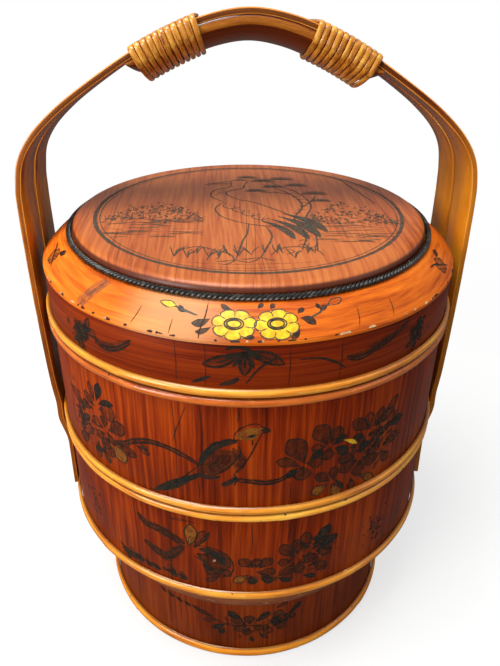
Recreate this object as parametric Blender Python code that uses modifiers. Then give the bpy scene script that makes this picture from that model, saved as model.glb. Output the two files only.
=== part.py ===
"""Tiered bamboo food basket: a footed lower tier, a middle tier and a lid, stacked under a tall strap handle.

Metres, +Z up. The origin is on the floor under the middle of the foot, the front of the basket faces -Y,
and the handle spans X.
"""

import math

import bmesh
import bpy
import numpy as np
from mathutils import Matrix, Vector

# Clearances
CLEAR = 0.0003
SEAT_CLEAR = 0.0004
CUT_OVERRUN = 0.004
MERGE = 0.00001

# Round walls, hoops and collars
TURN_STEPS = 40
HOOP_RADIUS = 0.160
HOOP_DEPTH = 0.0033
WALL_RADIUS = HOOP_RADIUS - HOOP_DEPTH - CLEAR
WALL_THICKNESS = 0.0048
WALL_EDGE = 0.0008
HOOP_HEIGHT = 0.0062
HOOP_EDGE = 0.0003
HOOP_ROUNDING = math.radians(40.0)
COLLAR_THICKNESS = 0.0030
COLLAR_SUNK = 0.012
COLLAR_PROUD = 0.010
FLOOR_THICKNESS = 0.0050
BEARER_WIDTH = 0.0080
BEARER_HEIGHT = 0.0040

# Foot
FOOT_RADIUS = 0.1322
FOOT_WALL_THICKNESS = 0.0050
FOOT_HEIGHT = 0.1110
FOOT_HOOP_DEPTH = 0.0037
FOOT_HOOP_HEIGHT = 0.0090
FOOT_HOOP_LIFT = 0.0005
FOOT_COLLAR_DEPTH = 0.0053
FOOT_COLLAR_BOTTOM = 0.0700
FOOT_COLLAR_HEIGHT = 0.0120

# Lower tier, middle tier and lid heights
LOWER_WALL_DROP = 0.0020
LOWER_WALL_HEIGHT = 0.0893
LOWER_BOTTOM_HOOP_HEIGHT = 0.0078
MIDDLE_WALL_HEIGHT = 0.0981
LID_WALL_HEIGHT = 0.0365

# Lid top
SHOULDER_OVERHANG = 0.0005
SHOULDER_EDGE_HEIGHT = 0.0028
SHOULDER_RISE = 0.0155
SHOULDER_CROWN = 0.0010
SHOULDER_THICKNESS = 0.0040
SHOULDER_LEDGE_WIDTH = 0.0150
PANEL_RADIUS = 0.1335
PANEL_THICKNESS = 0.0088
PANEL_RIM = 0.0055
PANEL_UNDERCUT = 0.0022
PANEL_RIM_ANGLES = (math.radians(90.0), math.radians(55.0), math.radians(25.0), 0.0)
CORD_RADIUS = 0.0022
CORD_SIDES = 8

# Handle strips
STRIP_LEG_WIDTH = 0.036
STRIP_CROWN_WIDTH = 0.030
STRIP_THICKNESS = 0.0044
STRIP_END_THICKNESS = 0.0034
STRIP_GAP = 0.005
STRIP_SAMPLES = 3
STRIP_STEP_POINTS = 4
HANDLE_FLARE = 0.0037
HANDLE_BEND_RISE = 0.2285
HANDLE_ARCH_RISE = 0.1294
HANDLE_LEAN = math.radians(3.9)
LEG_SEAT_CLEAR = 0.0005
LEG_SLIDE_CLEAR = 0.0014
LEG_END_CLEAR = 0.0030
LEG_TWIST_RUN = 0.100

# Arch outline from the bend to the crown, as shares of the half width and of the arch's rise
ARCH_OUTLINE_SHARES = (
    (1.000, 0.000),
    (0.996, 0.109),
    (0.975, 0.248),
    (0.916, 0.375),
    (0.821, 0.495),
    (0.702, 0.610),
    (0.511, 0.769),
    (0.345, 0.881),
    (0.172, 0.966),
    (0.000, 1.000),
)
# Leg between the hoops and the bend, as shares of the height and of the flare between them
LEG_OUTLINE_SHARES = ((0.14, 0.50), (0.46, 0.68), (0.70, 0.86), (0.88, 1.00))
# Share of the arch's rise over which the strips grow narrower
STRIP_MEET_SHARE = 0.76

# Pegs that pin each strip to the lower tier
PEG_RADIUS = 0.0025
PEG_HEAD_RADIUS = 0.0042
PEG_HEAD_HEIGHT = 0.0014
PEG_TAIL = 0.0020
PEG_SIDES = 8
PEG_SPACING = 0.026
PEG_LOWER_RISE = 0.0120

# Half round bamboo grip under the strips
GRIP_WIDTH = 0.066
GRIP_EDGE = 0.0050
GRIP_CROWN = 0.0110
GRIP_REACH = 0.0905
GRIP_SHIFT = 0.0045
GRIP_TAPER_LENGTH = 0.0200
GRIP_TAPER_SHARE = 0.20
GRIP_ARC_POINTS = 9
GRIP_STATIONS = 29

# Rattan bindings
CANE_RADIUS = 0.0015
CANE_LOOPS = 11
CANE_PITCH = 0.0045
CANE_CLEAR = 0.0003
BINDING_START = 0.0410
BINDING_TOP_STEPS = 5
BINDING_CORNER_STEPS = 3
BINDING_SIDE_STEPS = 2
BINDING_ARC_STEPS = 9

# Heights that follow from the stack
LOWER_WALL_BOTTOM = FOOT_HEIGHT - LOWER_WALL_DROP
LOWER_WALL_TOP = LOWER_WALL_BOTTOM + LOWER_WALL_HEIGHT
MIDDLE_WALL_BOTTOM = LOWER_WALL_TOP + CLEAR
MIDDLE_WALL_TOP = MIDDLE_WALL_BOTTOM + MIDDLE_WALL_HEIGHT
LID_WALL_BOTTOM = MIDDLE_WALL_TOP + CLEAR
LID_WALL_TOP = LID_WALL_BOTTOM + LID_WALL_HEIGHT
SHOULDER_BOTTOM = LID_WALL_TOP + CLEAR
SHOULDER_EDGE_TOP = SHOULDER_BOTTOM + SHOULDER_EDGE_HEIGHT
SHOULDER_TOP = SHOULDER_EDGE_TOP + SHOULDER_RISE
PANEL_BOTTOM = SHOULDER_TOP + CLEAR
PANEL_TOP = PANEL_BOTTOM + PANEL_THICKNESS
WALL_INNER_RADIUS = WALL_RADIUS - WALL_THICKNESS
FITTED_RADIUS = WALL_INNER_RADIUS - CLEAR
CORD_RING_RADIUS = PANEL_RADIUS + CLEAR + CORD_RADIUS

# Handle frame: its origin is midway between the pegs of each leg
PEG_LOWER_HEIGHT = LOWER_WALL_BOTTOM + LOWER_BOTTOM_HOOP_HEIGHT + PEG_LOWER_RISE
HANDLE_PIVOT = PEG_LOWER_HEIGHT + PEG_SPACING / 2
LEG_OFFSET = (STRIP_LEG_WIDTH + STRIP_GAP) / 2
CROWN_OFFSET = (STRIP_CROWN_WIDTH + STRIP_GAP) / 2
LEG_TWIST = math.asin(LEG_OFFSET / WALL_RADIUS)

COLLECTION_NAME = "tiered_bamboo_food_basket"


def clear_scene():
    """Remove every object and the collections left empty by that."""
    for item in list(bpy.data.objects):
        bpy.data.objects.remove(item, do_unlink=True)
    for group in list(bpy.data.collections):
        bpy.data.collections.remove(group)


def make_collection(name):
    """Add a collection to the scene and return it."""
    group = bpy.data.collections.new(name)
    bpy.context.scene.collection.children.link(group)
    return group


def make_material(name, colour, roughness):
    """Return a Principled material of one plain colour."""
    material = bpy.data.materials.new(name)
    material.use_nodes = True
    shader = material.node_tree.nodes["Principled BSDF"]
    shader.inputs["Base Color"].default_value = (*colour, 1.0)
    shader.inputs["Roughness"].default_value = roughness
    shader.inputs["Metallic"].default_value = 0.0
    return material


def place(name, mesh, group, material):
    """Wrap a mesh in an object, in its collection, with its own copy of the material."""
    item = bpy.data.objects.new(name, mesh)
    group.objects.link(item)
    own = material.copy()
    own.name = f"{name}_finish"
    mesh.materials.append(own)
    return item


def turned(name, profile, group, material, closed=True, steps=TURN_STEPS):
    """Revolve a profile of (radius, height) points about Z.

    The points run down the outer side, top to bottom. A closed profile makes a ring, and an open one
    starts and ends on the axis.
    """
    mesh = bpy.data.meshes.new(name)
    points = [(radius, 0.0, height) for radius, height in profile]
    edges = [(index, index + 1) for index in range(len(points) - 1)]
    if closed:
        edges.append((len(points) - 1, 0))
    mesh.from_pydata(points, edges, [])
    item = place(name, mesh, group, material)
    screw = item.modifiers.new("Turn", "SCREW")
    screw.angle = math.tau
    screw.steps = steps
    screw.render_steps = steps
    screw.use_merge_vertices = True
    screw.merge_threshold = MERGE
    screw.use_smooth_shade = True
    return item


def ring_profile(outer, inner, bottom, top, edge=WALL_EDGE):
    """Section of a plain ring whose outer edges are chamfered."""
    return [
        (outer - edge, top),
        (outer, top - edge),
        (outer, bottom + edge),
        (outer - edge, bottom),
        (inner, bottom),
        (inner, top),
    ]


def hoop_profile(inner, outer, bottom, height):
    """Section of a split bamboo hoop: flat against the wall, round outside."""
    top = bottom + height
    middle = bottom + height / 2
    depth = outer - inner
    shoulder = inner + depth * math.cos(HOOP_ROUNDING)
    rise = height / 2 * math.sin(HOOP_ROUNDING)
    return [
        (inner, top - HOOP_EDGE),
        (inner + depth / 3, top),
        (shoulder, middle + rise),
        (outer, middle),
        (shoulder, middle - rise),
        (inner + depth / 3, bottom),
        (inner, bottom + HOOP_EDGE),
    ]


def smooth_points(points, samples):
    """Catmull-Rom curve through the points, with the given number of samples in each span."""
    ends = [2 * points[0] - points[1]] + list(points) + [2 * points[-1] - points[-2]]
    curve = []
    for before, start, end, after in zip(ends, ends[1:], ends[2:], ends[3:]):
        for step in range(samples):
            share = step / samples
            slope_in = (end - before) / 2
            slope_out = (after - start) / 2
            curve.append(
                (2 * share**3 - 3 * share**2 + 1) * start
                + (share**3 - 2 * share**2 + share) * slope_in
                + (3 * share**2 - 2 * share**3) * end
                + (share**3 - share**2) * slope_out
            )
    curve.append(points[-1])
    return curve


def leg_x(distance):
    """X of a strip's middle in the handle's plane when its twisted face lies at a distance from the axis."""
    return (distance - LEG_OFFSET * math.sin(LEG_TWIST)) / math.cos(LEG_TWIST)


LEG_SEAT_X = leg_x(WALL_RADIUS + LEG_SEAT_CLEAR + STRIP_END_THICKNESS)
LEG_HOOP_X = leg_x(HOOP_RADIUS + LEG_SLIDE_CLEAR + STRIP_THICKNESS)
HANDLE_HALF_WIDTH = LEG_HOOP_X + HANDLE_FLARE
LEG_END_RISE = LOWER_WALL_BOTTOM + LOWER_BOTTOM_HOOP_HEIGHT + LEG_END_CLEAR - HANDLE_PIVOT
LEG_STRAIGHT_RISE = PEG_SPACING / 2 + 2 * PEG_HEAD_RADIUS
LEG_HOOP_RISE = LOWER_WALL_TOP - HOOP_HEIGHT - HANDLE_PIVOT


def ease(value, start, end):
    """Smooth step from 0 at the start to 1 at the end."""
    share = min(max((value - start) / (end - start), 0.0), 1.0)
    return share * share * (3 - 2 * share)


def strip_narrowing(rise):
    """How far a strip has narrowed from its leg, 0, to its crown, 1."""
    return ease(rise, HANDLE_BEND_RISE, HANDLE_BEND_RISE + HANDLE_ARCH_RISE * STRIP_MEET_SHARE)


def strip_offset(rise):
    """Distance of a strip's middle from the handle's plane: wide at the legs, close at the crown."""
    return LEG_OFFSET + (CROWN_OFFSET - LEG_OFFSET) * strip_narrowing(rise)


def strip_width(rise):
    """Width of a strip: full at the legs, narrower at the crown."""
    return STRIP_LEG_WIDTH + (STRIP_CROWN_WIDTH - STRIP_LEG_WIDTH) * strip_narrowing(rise)


def strip_twist(rise):
    """Turn of a strip's face toward the round wall: full at the lower tier, none at the bend."""
    start = LEG_HOOP_RISE + 2 * HOOP_HEIGHT
    return LEG_TWIST * (1 - ease(rise, start, start + LEG_TWIST_RUN))


def strip_thickness(rise):
    """Thickness of a strip: pared down where it is pegged to the wall."""
    return STRIP_END_THICKNESS + (STRIP_THICKNESS - STRIP_END_THICKNESS) * ease(
        rise, LEG_STRAIGHT_RISE, LEG_HOOP_RISE
    )


def handle_outline():
    """Outer face of the strips in the handle's plane, from the left leg's end over the crown to the right.

    The points are (x, rise) pairs, with the rise measured from the handle frame.
    """
    leg = [Vector((LEG_SEAT_X, LEG_END_RISE))]
    for index in range(STRIP_STEP_POINTS):
        share = index / STRIP_STEP_POINTS
        rise = LEG_STRAIGHT_RISE + (LEG_HOOP_RISE - LEG_STRAIGHT_RISE) * share
        leg.append(Vector((LEG_SEAT_X + (LEG_HOOP_X - LEG_SEAT_X) * ease(share, 0.0, 1.0), rise)))
    hoops_top = LEG_HOOP_RISE + 2 * HOOP_HEIGHT
    arch = [Vector((LEG_HOOP_X, LEG_HOOP_RISE)), Vector((LEG_HOOP_X, hoops_top))]
    for height_share, flare_share in LEG_OUTLINE_SHARES:
        x = LEG_HOOP_X + (HANDLE_HALF_WIDTH - LEG_HOOP_X) * flare_share
        arch.append(Vector((x, hoops_top + (HANDLE_BEND_RISE - hoops_top) * height_share)))
    for width_share, arch_share in ARCH_OUTLINE_SHARES:
        arch.append(Vector((HANDLE_HALF_WIDTH * width_share, HANDLE_BEND_RISE + HANDLE_ARCH_RISE * arch_share)))
    arch_left = [Vector((-point.x, point.y)) for point in arch]
    leg_left = [Vector((-point.x, point.y)) for point in leg]
    return leg_left + smooth_points(arch_left + arch[-2::-1], STRIP_SAMPLES) + leg[::-1]


def inward_normals(curve):
    """Unit normals of the outline that point to the inside of the arch."""
    normals = []
    for index in range(len(curve)):
        before = curve[max(index - 1, 0)]
        after = curve[min(index + 1, len(curve) - 1)]
        along = (after - before).normalized()
        normals.append(Vector((along.y, -along.x)))
    return normals


def offset_curve(curve, depth):
    """The outline moved inward by a depth."""
    return [point + normal * depth for point, normal in zip(curve, inward_normals(curve))]


def curve_lengths(curve):
    """Length along the outline at each of its points, zero at the crown."""
    steps = [0.0]
    for start, end in zip(curve, curve[1:]):
        steps.append(steps[-1] + (end - start).length)
    middle = steps[len(steps) // 2]
    return [step - middle for step in steps]


def at_length(values, lengths, distance):
    """Value of a list of vectors at a length along the outline."""
    xs = np.interp(distance, lengths, [value.x for value in values])
    ys = np.interp(distance, lengths, [value.y for value in values])
    return Vector((float(xs), float(ys)))


def length_at_x(curve, lengths, x):
    """Length along the outline where the right half of the arch reaches x, measured from the crown."""
    middle = len(curve) // 2
    reach = [point.x for point in curve[middle:]]
    widest = reach.index(max(reach)) + 1
    return float(np.interp(x, reach[:widest], lengths[middle : middle + widest]))


def loft(name, rings):
    """Mesh through closed rings of points, with both ends capped."""
    edit = bmesh.new()
    rows = [[edit.verts.new(spot) for spot in ring] for ring in rings]
    for start, end in zip(rows, rows[1:]):
        for index in range(len(start)):
            after = (index + 1) % len(start)
            edit.faces.new((start[index], start[after], end[after], end[index]))
    edit.faces.new(rows[0])
    edit.faces.new(rows[-1][::-1])
    bmesh.ops.recalc_face_normals(edit, faces=edit.faces)
    mesh = bpy.data.meshes.new(name)
    edit.to_mesh(mesh)
    edit.free()
    return mesh


def make_strip(name, side, frame, group, material, holes):
    """One bent bamboo strip: its flat section follows the outline and turns to lie on the round wall."""
    outer = handle_outline()
    rings = []
    for point, normal in zip(outer, inward_normals(outer)):
        twist = strip_twist(point.y)
        flat = Vector((normal.x, 0.0, normal.y))
        middle = Vector((point.x, side * strip_offset(point.y), point.y))
        inward = flat * math.cos(twist) - Vector((0.0, side * math.sin(twist), 0.0))
        across = flat * side * math.sin(twist) + Vector((0.0, math.cos(twist), 0.0))
        half = across * (strip_width(point.y) / 2)
        depth = inward * strip_thickness(point.y)
        rings.append([middle - half, middle + half, middle + half + depth, middle - half + depth])
    strip = place(name, loft(name, rings), group, material)
    strip.parent = frame
    drill(strip, holes)
    return strip


def drill(item, holes):
    """Cut every peg hole that reaches this piece."""
    cut = item.modifiers.new("Peg holes", "BOOLEAN")
    cut.operation = "DIFFERENCE"
    cut.solver = "EXACT"
    cut.operand_type = "COLLECTION"
    cut.collection = holes


def peg_places():
    """Name, side of the leg, strip side and rise of each peg."""
    places = []
    for leg_name, leg in (("left", -1), ("right", 1)):
        for strip_name, strip in (("front", -1), ("rear", 1)):
            for level_name, rise in (("lower", -PEG_SPACING / 2), ("upper", PEG_SPACING / 2)):
                places.append((f"peg_{leg_name}_{strip_name}_{level_name}", leg, strip, rise))
    return places


def peg_matrix(leg, strip, rise, frame):
    """World placing of a peg: its own Z points outward through the strip."""
    facing = strip * LEG_TWIST if leg > 0 else math.pi - strip * LEG_TWIST
    matrix = frame.matrix_world @ Matrix.Translation((leg * LEG_SEAT_X, strip * LEG_OFFSET, rise))
    return matrix @ Matrix.Rotation(facing, 4, "Z") @ Matrix.Rotation(math.pi / 2, 4, "Y")


def make_peg(name, leg, strip, rise, frame, group, material):
    """A bamboo peg with a low round head, driven through a strip and the wall behind it."""
    tail = STRIP_END_THICKNESS + LEG_SEAT_CLEAR + WALL_THICKNESS + PEG_TAIL
    profile = [
        (0.0, CLEAR + PEG_HEAD_HEIGHT),
        (PEG_HEAD_RADIUS / 2, CLEAR + PEG_HEAD_HEIGHT),
        (PEG_HEAD_RADIUS, CLEAR + PEG_HEAD_HEIGHT / 3),
        (PEG_HEAD_RADIUS, CLEAR),
        (PEG_RADIUS, CLEAR),
        (PEG_RADIUS, -tail),
        (0.0, -tail),
    ]
    peg = turned(name, profile, group, material, closed=False, steps=PEG_SIDES)
    peg.matrix_world = peg_matrix(leg, strip, rise, frame)
    return peg


def make_hole(name, leg, strip, rise, frame, group):
    """Cutter for one peg hole, through the strip and the wall."""
    depth = STRIP_END_THICKNESS + LEG_SEAT_CLEAR + WALL_THICKNESS + 2 * CUT_OVERRUN
    mesh = bpy.data.meshes.new(name)
    edit = bmesh.new()
    bmesh.ops.create_cone(
        edit,
        cap_ends=True,
        segments=PEG_SIDES,
        radius1=PEG_RADIUS + CLEAR,
        radius2=PEG_RADIUS + CLEAR,
        depth=depth,
        matrix=Matrix.Translation((0.0, 0.0, CUT_OVERRUN - depth / 2)),
    )
    edit.to_mesh(mesh)
    edit.free()
    hole = bpy.data.objects.new(name, mesh)
    group.objects.link(hole)
    hole.matrix_world = peg_matrix(leg, strip, rise, frame)
    hole.hide_render = True
    hole.display_type = "WIRE"
    return hole


def grip_section(taper):
    """Half round section of the grip as (across, depth) points, depth measured down from the strips."""
    half = GRIP_WIDTH / 2
    radius = (half**2 + GRIP_CROWN**2) / (2 * GRIP_CROWN)
    spread = math.asin(half / radius)
    points = [(half, 0.0), (-half, 0.0)]
    for index in range(GRIP_ARC_POINTS):
        angle = spread * (2 * index / (GRIP_ARC_POINTS - 1) - 1)
        across = radius * math.sin(angle)
        depth = GRIP_EDGE + GRIP_CROWN - radius * (1 - math.cos(angle))
        points.append((across, depth * taper))
    return points


def grip_taper(distance, reach):
    """Depth share of the grip at a distance from the crown: full, then rounded off to a thin end."""
    run_out = max(0.0, abs(distance) - (reach - GRIP_TAPER_LENGTH)) / GRIP_TAPER_LENGTH
    return GRIP_TAPER_SHARE + (1 - GRIP_TAPER_SHARE) * math.sqrt(max(0.0, 1 - min(run_out, 1.0) ** 2))


def make_grip(frame, group, material):
    """Split bamboo grip: its half round section follows the underside of the strips, a little off centre."""
    outer = handle_outline()
    lengths = curve_lengths(outer)
    path = offset_curve(outer, STRIP_THICKNESS + SEAT_CLEAR)
    normals = inward_normals(outer)
    reach = length_at_x(outer, lengths, GRIP_REACH)
    rings = []
    for index in range(GRIP_STATIONS):
        distance = reach * math.sin(math.pi / 2 * (2 * index / (GRIP_STATIONS - 1) - 1))
        centre = at_length(path, lengths, distance + GRIP_SHIFT)
        normal = at_length(normals, lengths, distance + GRIP_SHIFT).normalized()
        ring = []
        for across, depth in grip_section(grip_taper(distance, reach)):
            spot = centre + normal * depth
            ring.append(Vector((spot.x, across, spot.y)))
        rings.append(ring)
    grip = place("handle_grip", loft("handle_grip", rings), group, material)
    grip.parent = frame
    return grip


def corner_arc(centre, start, end, radius, count):
    """Points of an arc round a corner, by angle."""
    points = []
    for index in range(count):
        angle = start + (end - start) * index / max(count - 1, 1)
        points.append(Vector((centre.x + radius * math.cos(angle), centre.y + radius * math.sin(angle))))
    return points


def binding_loop():
    """One turn of cane round both strips and the grip, as (across, rise) points about the outer face."""
    reach = CANE_RADIUS + CANE_CLEAR
    half = GRIP_WIDTH / 2
    radius = (half**2 + GRIP_CROWN**2) / (2 * GRIP_CROWN)
    spread = math.asin(half / radius)
    edge = -(STRIP_THICKNESS + SEAT_CLEAR + GRIP_EDGE)
    arc_centre = Vector((0.0, edge - GRIP_CROWN + radius))
    top = []
    for index in range(BINDING_TOP_STEPS):
        share = (index + 1) / (BINDING_TOP_STEPS + 1)
        top.append(Vector((half * (1 - 2 * share), reach)))
    quarter = math.pi / 2
    left_top = corner_arc(Vector((-half, 0.0)), quarter, 2 * quarter, reach, BINDING_CORNER_STEPS)
    left_low = corner_arc(Vector((-half, edge)), 2 * quarter, 3 * quarter - spread, reach, BINDING_SIDE_STEPS)
    bottom = corner_arc(arc_centre, 3 * quarter - spread, 3 * quarter + spread, radius + reach, BINDING_ARC_STEPS + 2)
    right_low = corner_arc(Vector((half, edge)), 3 * quarter + spread, 4 * quarter, reach, BINDING_SIDE_STEPS)
    right_top = corner_arc(Vector((half, 0.0)), 0.0, quarter, reach, BINDING_CORNER_STEPS)
    return top + left_top + left_low + bottom[1:-1] + right_low + right_top


def binding_path(side):
    """Centre line of one binding: its loops climb the arch at a steady pitch."""
    outer = handle_outline()
    lengths = curve_lengths(outer)
    normals = inward_normals(outer)
    loop = binding_loop()
    turns = [0.0]
    for start, end in zip(loop, loop[1:] + loop[:1]):
        turns.append(turns[-1] + (end - start).length)
    first = length_at_x(outer, lengths, BINDING_START)
    path = []
    for index in range(CANE_LOOPS * len(loop) + 1):
        turn, step = divmod(index, len(loop))
        share = turn + turns[step] / turns[-1]
        distance = side * (first + CANE_PITCH * share) + GRIP_SHIFT
        centre = at_length(outer, lengths, distance)
        normal = at_length(normals, lengths, distance).normalized()
        across, rise = loop[step]
        spot = centre - normal * rise
        path.append(Vector((spot.x, across, spot.y)))
    return path


def least_gap(path):
    """Least clear distance between a cane and its own next turns, from the points of its centre line."""
    points = np.array([tuple(point) for point in path])
    apart = (len(points) - 1) // CANE_LOOPS // 2
    least = math.inf
    for index in range(len(points) - apart - 1):
        ahead = points[index + apart :]
        start = ahead[:-1]
        along = ahead[1:] - start
        share = np.einsum("ij,ij->i", points[index] - start, along) / np.einsum("ij,ij->i", along, along)
        nearest = start + along * np.clip(share, 0.0, 1.0)[:, None]
        least = min(least, float(np.linalg.norm(nearest - points[index], axis=1).min()))
    return least - 2 * CANE_RADIUS


def make_binding(name, side, frame, group, material):
    """Rattan binding: one unbroken cane wound round the strips and the grip."""
    path = binding_path(side)
    print(f"{name}: least gap between turns {least_gap(path) * 1000:.2f} mm")
    curve = bpy.data.curves.new(name, "CURVE")
    curve.dimensions = "3D"
    curve.bevel_depth = CANE_RADIUS
    curve.bevel_resolution = 1
    curve.use_fill_caps = True
    spline = curve.splines.new("POLY")
    spline.points.add(len(path) - 1)
    for point, spot in zip(spline.points, path):
        point.co = (*spot, 1.0)
    own = material.copy()
    own.name = f"{name}_finish"
    curve.materials.append(own)
    binding = bpy.data.objects.new(name, curve)
    group.objects.link(binding)
    binding.parent = frame
    return binding


def make_wall(name, bottom, top, group, material):
    """Round wall of a tier or of the lid."""
    profile = ring_profile(WALL_RADIUS, WALL_INNER_RADIUS, bottom, top)
    return turned(name, profile, group, material)


def make_hoop(name, bottom, group, material, height=HOOP_HEIGHT):
    """Bamboo hoop round a wall."""
    profile = hoop_profile(WALL_RADIUS + CLEAR, HOOP_RADIUS, bottom, height)
    return turned(name, profile, group, material)


def make_collar(name, wall_top, group, material):
    """Thin ring inside the top of a tier that stands proud and locates what is stacked on it."""
    inner = FITTED_RADIUS - COLLAR_THICKNESS
    profile = ring_profile(FITTED_RADIUS, inner, wall_top - COLLAR_SUNK, wall_top + COLLAR_PROUD)
    return turned(name, profile, group, material)


def make_disc(name, radius, bottom, top, group, material):
    """Flat round board."""
    profile = [(0.0, top), (radius, top), (radius, bottom), (0.0, bottom)]
    return turned(name, profile, group, material, closed=False)


def build_foot(group, bamboo, hoop):
    """Foot ring with its two hoops."""
    inner = FOOT_RADIUS - FOOT_WALL_THICKNESS
    turned("foot_wall", ring_profile(FOOT_RADIUS, inner, 0.0, FOOT_HEIGHT, FOOT_HOOP_LIFT), group, bamboo)
    seat = FOOT_RADIUS + CLEAR
    lower = hoop_profile(seat, seat + FOOT_HOOP_DEPTH, FOOT_HOOP_LIFT, FOOT_HOOP_HEIGHT)
    turned("foot_bottom_hoop", lower, group, hoop)
    collar = hoop_profile(seat, seat + FOOT_COLLAR_DEPTH, FOOT_COLLAR_BOTTOM, FOOT_COLLAR_HEIGHT)
    turned("foot_collar_hoop", collar, group, hoop)


def build_lower_tier(group, bamboo, hoop, board, holes):
    """Lower tier: wall, hoops, floor on the foot, and the collar that locates the middle tier."""
    wall = make_wall("lower_tier_wall", LOWER_WALL_BOTTOM, LOWER_WALL_TOP, group, bamboo)
    drill(wall, holes)
    make_hoop(
        "lower_tier_bottom_hoop", LOWER_WALL_BOTTOM + CLEAR, group, hoop, LOWER_BOTTOM_HOOP_HEIGHT - CLEAR
    )
    make_hoop("lower_tier_top_hoop", LOWER_WALL_TOP - CLEAR - HOOP_HEIGHT, group, hoop)
    bottom = FOOT_HEIGHT + CLEAR
    make_disc("lower_tier_floor", FITTED_RADIUS, bottom, bottom + FLOOR_THICKNESS, group, board)
    make_collar("lower_tier_collar", LOWER_WALL_TOP, group, board)


def build_middle_tier(group, bamboo, hoop, board):
    """Middle tier: wall, hoops, floor on its bearer, and the collar that locates the lid."""
    make_wall("middle_tier_wall", MIDDLE_WALL_BOTTOM, MIDDLE_WALL_TOP, group, bamboo)
    make_hoop("middle_tier_bottom_hoop", MIDDLE_WALL_BOTTOM + CLEAR, group, hoop)
    make_hoop("middle_tier_top_hoop", MIDDLE_WALL_TOP - CLEAR - HOOP_HEIGHT, group, hoop)
    bearer_bottom = LOWER_WALL_TOP + COLLAR_PROUD + CLEAR
    bearer_top = bearer_bottom + BEARER_HEIGHT
    bearer = ring_profile(FITTED_RADIUS, FITTED_RADIUS - BEARER_WIDTH, bearer_bottom, bearer_top)
    turned("middle_tier_floor_bearer", bearer, group, board)
    floor_bottom = bearer_top + CLEAR
    make_disc("middle_tier_floor", FITTED_RADIUS, floor_bottom, floor_bottom + FLOOR_THICKNESS, group, board)
    make_collar("middle_tier_collar", MIDDLE_WALL_TOP, group, board)


def shoulder_profile():
    """Section of the sloping shoulder: edge, crowned slope, flat ledge under the panel, hollow inside."""
    edge = WALL_RADIUS + SHOULDER_OVERHANG
    slope_top = CORD_RING_RADIUS + CORD_RADIUS
    ledge_inner = PANEL_RADIUS - SHOULDER_LEDGE_WIDTH
    slope_middle = ((edge + slope_top) / 2, (SHOULDER_EDGE_TOP + SHOULDER_TOP) / 2)
    return [
        (ledge_inner, SHOULDER_TOP),
        (slope_top, SHOULDER_TOP),
        (slope_middle[0] + SHOULDER_CROWN, slope_middle[1] + SHOULDER_CROWN),
        (edge - WALL_EDGE, SHOULDER_EDGE_TOP),
        (edge, SHOULDER_EDGE_TOP - WALL_EDGE),
        (edge, SHOULDER_BOTTOM),
        (edge - WALL_THICKNESS, SHOULDER_BOTTOM),
        (slope_top - SHOULDER_THICKNESS / 2, SHOULDER_TOP - SHOULDER_THICKNESS),
        (ledge_inner, SHOULDER_TOP - SHOULDER_THICKNESS),
    ]


def panel_profile():
    """Section of the raised round panel, with its rolled rim and undercut side."""
    inner = PANEL_RADIUS - PANEL_RIM
    centre_height = PANEL_TOP - PANEL_RIM
    points = [(0.0, PANEL_TOP)]
    for angle in PANEL_RIM_ANGLES:
        points.append((inner + PANEL_RIM * math.cos(angle), centre_height + PANEL_RIM * math.sin(angle)))
    points.append((PANEL_RADIUS - PANEL_UNDERCUT, PANEL_BOTTOM))
    points.append((0.0, PANEL_BOTTOM))
    return points


def cord_profile():
    """Round section of the cord that lies in the corner between the panel and the shoulder."""
    centre_height = SHOULDER_TOP + CLEAR + CORD_RADIUS
    points = []
    for index in range(CORD_SIDES):
        angle = math.pi / 2 - math.tau * index / CORD_SIDES
        points.append((CORD_RING_RADIUS + CORD_RADIUS * math.cos(angle), centre_height + CORD_RADIUS * math.sin(angle)))
    return points


def build_lid(group, bamboo, hoop, panel, cord):
    """Lid: wall and hoop, shoulder, raised panel and the cord round its foot."""
    make_wall("lid_wall", LID_WALL_BOTTOM, LID_WALL_TOP, group, bamboo)
    make_hoop("lid_bottom_hoop", LID_WALL_BOTTOM + CLEAR, group, hoop)
    turned("lid_shoulder", shoulder_profile(), group, bamboo)
    turned("lid_panel", panel_profile(), group, panel, closed=False)
    turned("lid_cord", cord_profile(), group, cord)


def build_handle(frame, group, strip, grip, cane, peg, holes):
    """Handle: two bent strips, the grip between the bindings, the bindings, and the pegs in the legs."""
    make_strip("handle_strip_front", -1, frame, group, strip, holes)
    make_strip("handle_strip_rear", 1, frame, group, strip, holes)
    make_grip(frame, group, grip)
    make_binding("handle_binding_left", -1, frame, group, cane)
    make_binding("handle_binding_right", 1, frame, group, cane)
    for name, leg, strip_side, rise in peg_places():
        make_peg(name, leg, strip_side, rise, frame, group, peg)


def make_handle_frame(group):
    """Empty that carries the handle: it leans back about the line of the pegs."""
    frame = bpy.data.objects.new("handle_frame", None)
    group.objects.link(frame)
    frame.location = (0.0, 0.0, HANDLE_PIVOT)
    frame.rotation_euler = (-HANDLE_LEAN, 0.0, 0.0)
    bpy.context.view_layer.update()
    return frame


def make_holes(frame, group):
    """Cutters for all the peg holes."""
    for name, leg, strip_side, rise in peg_places():
        make_hole(f"{name}_hole", leg, strip_side, rise, frame, group)


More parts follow.
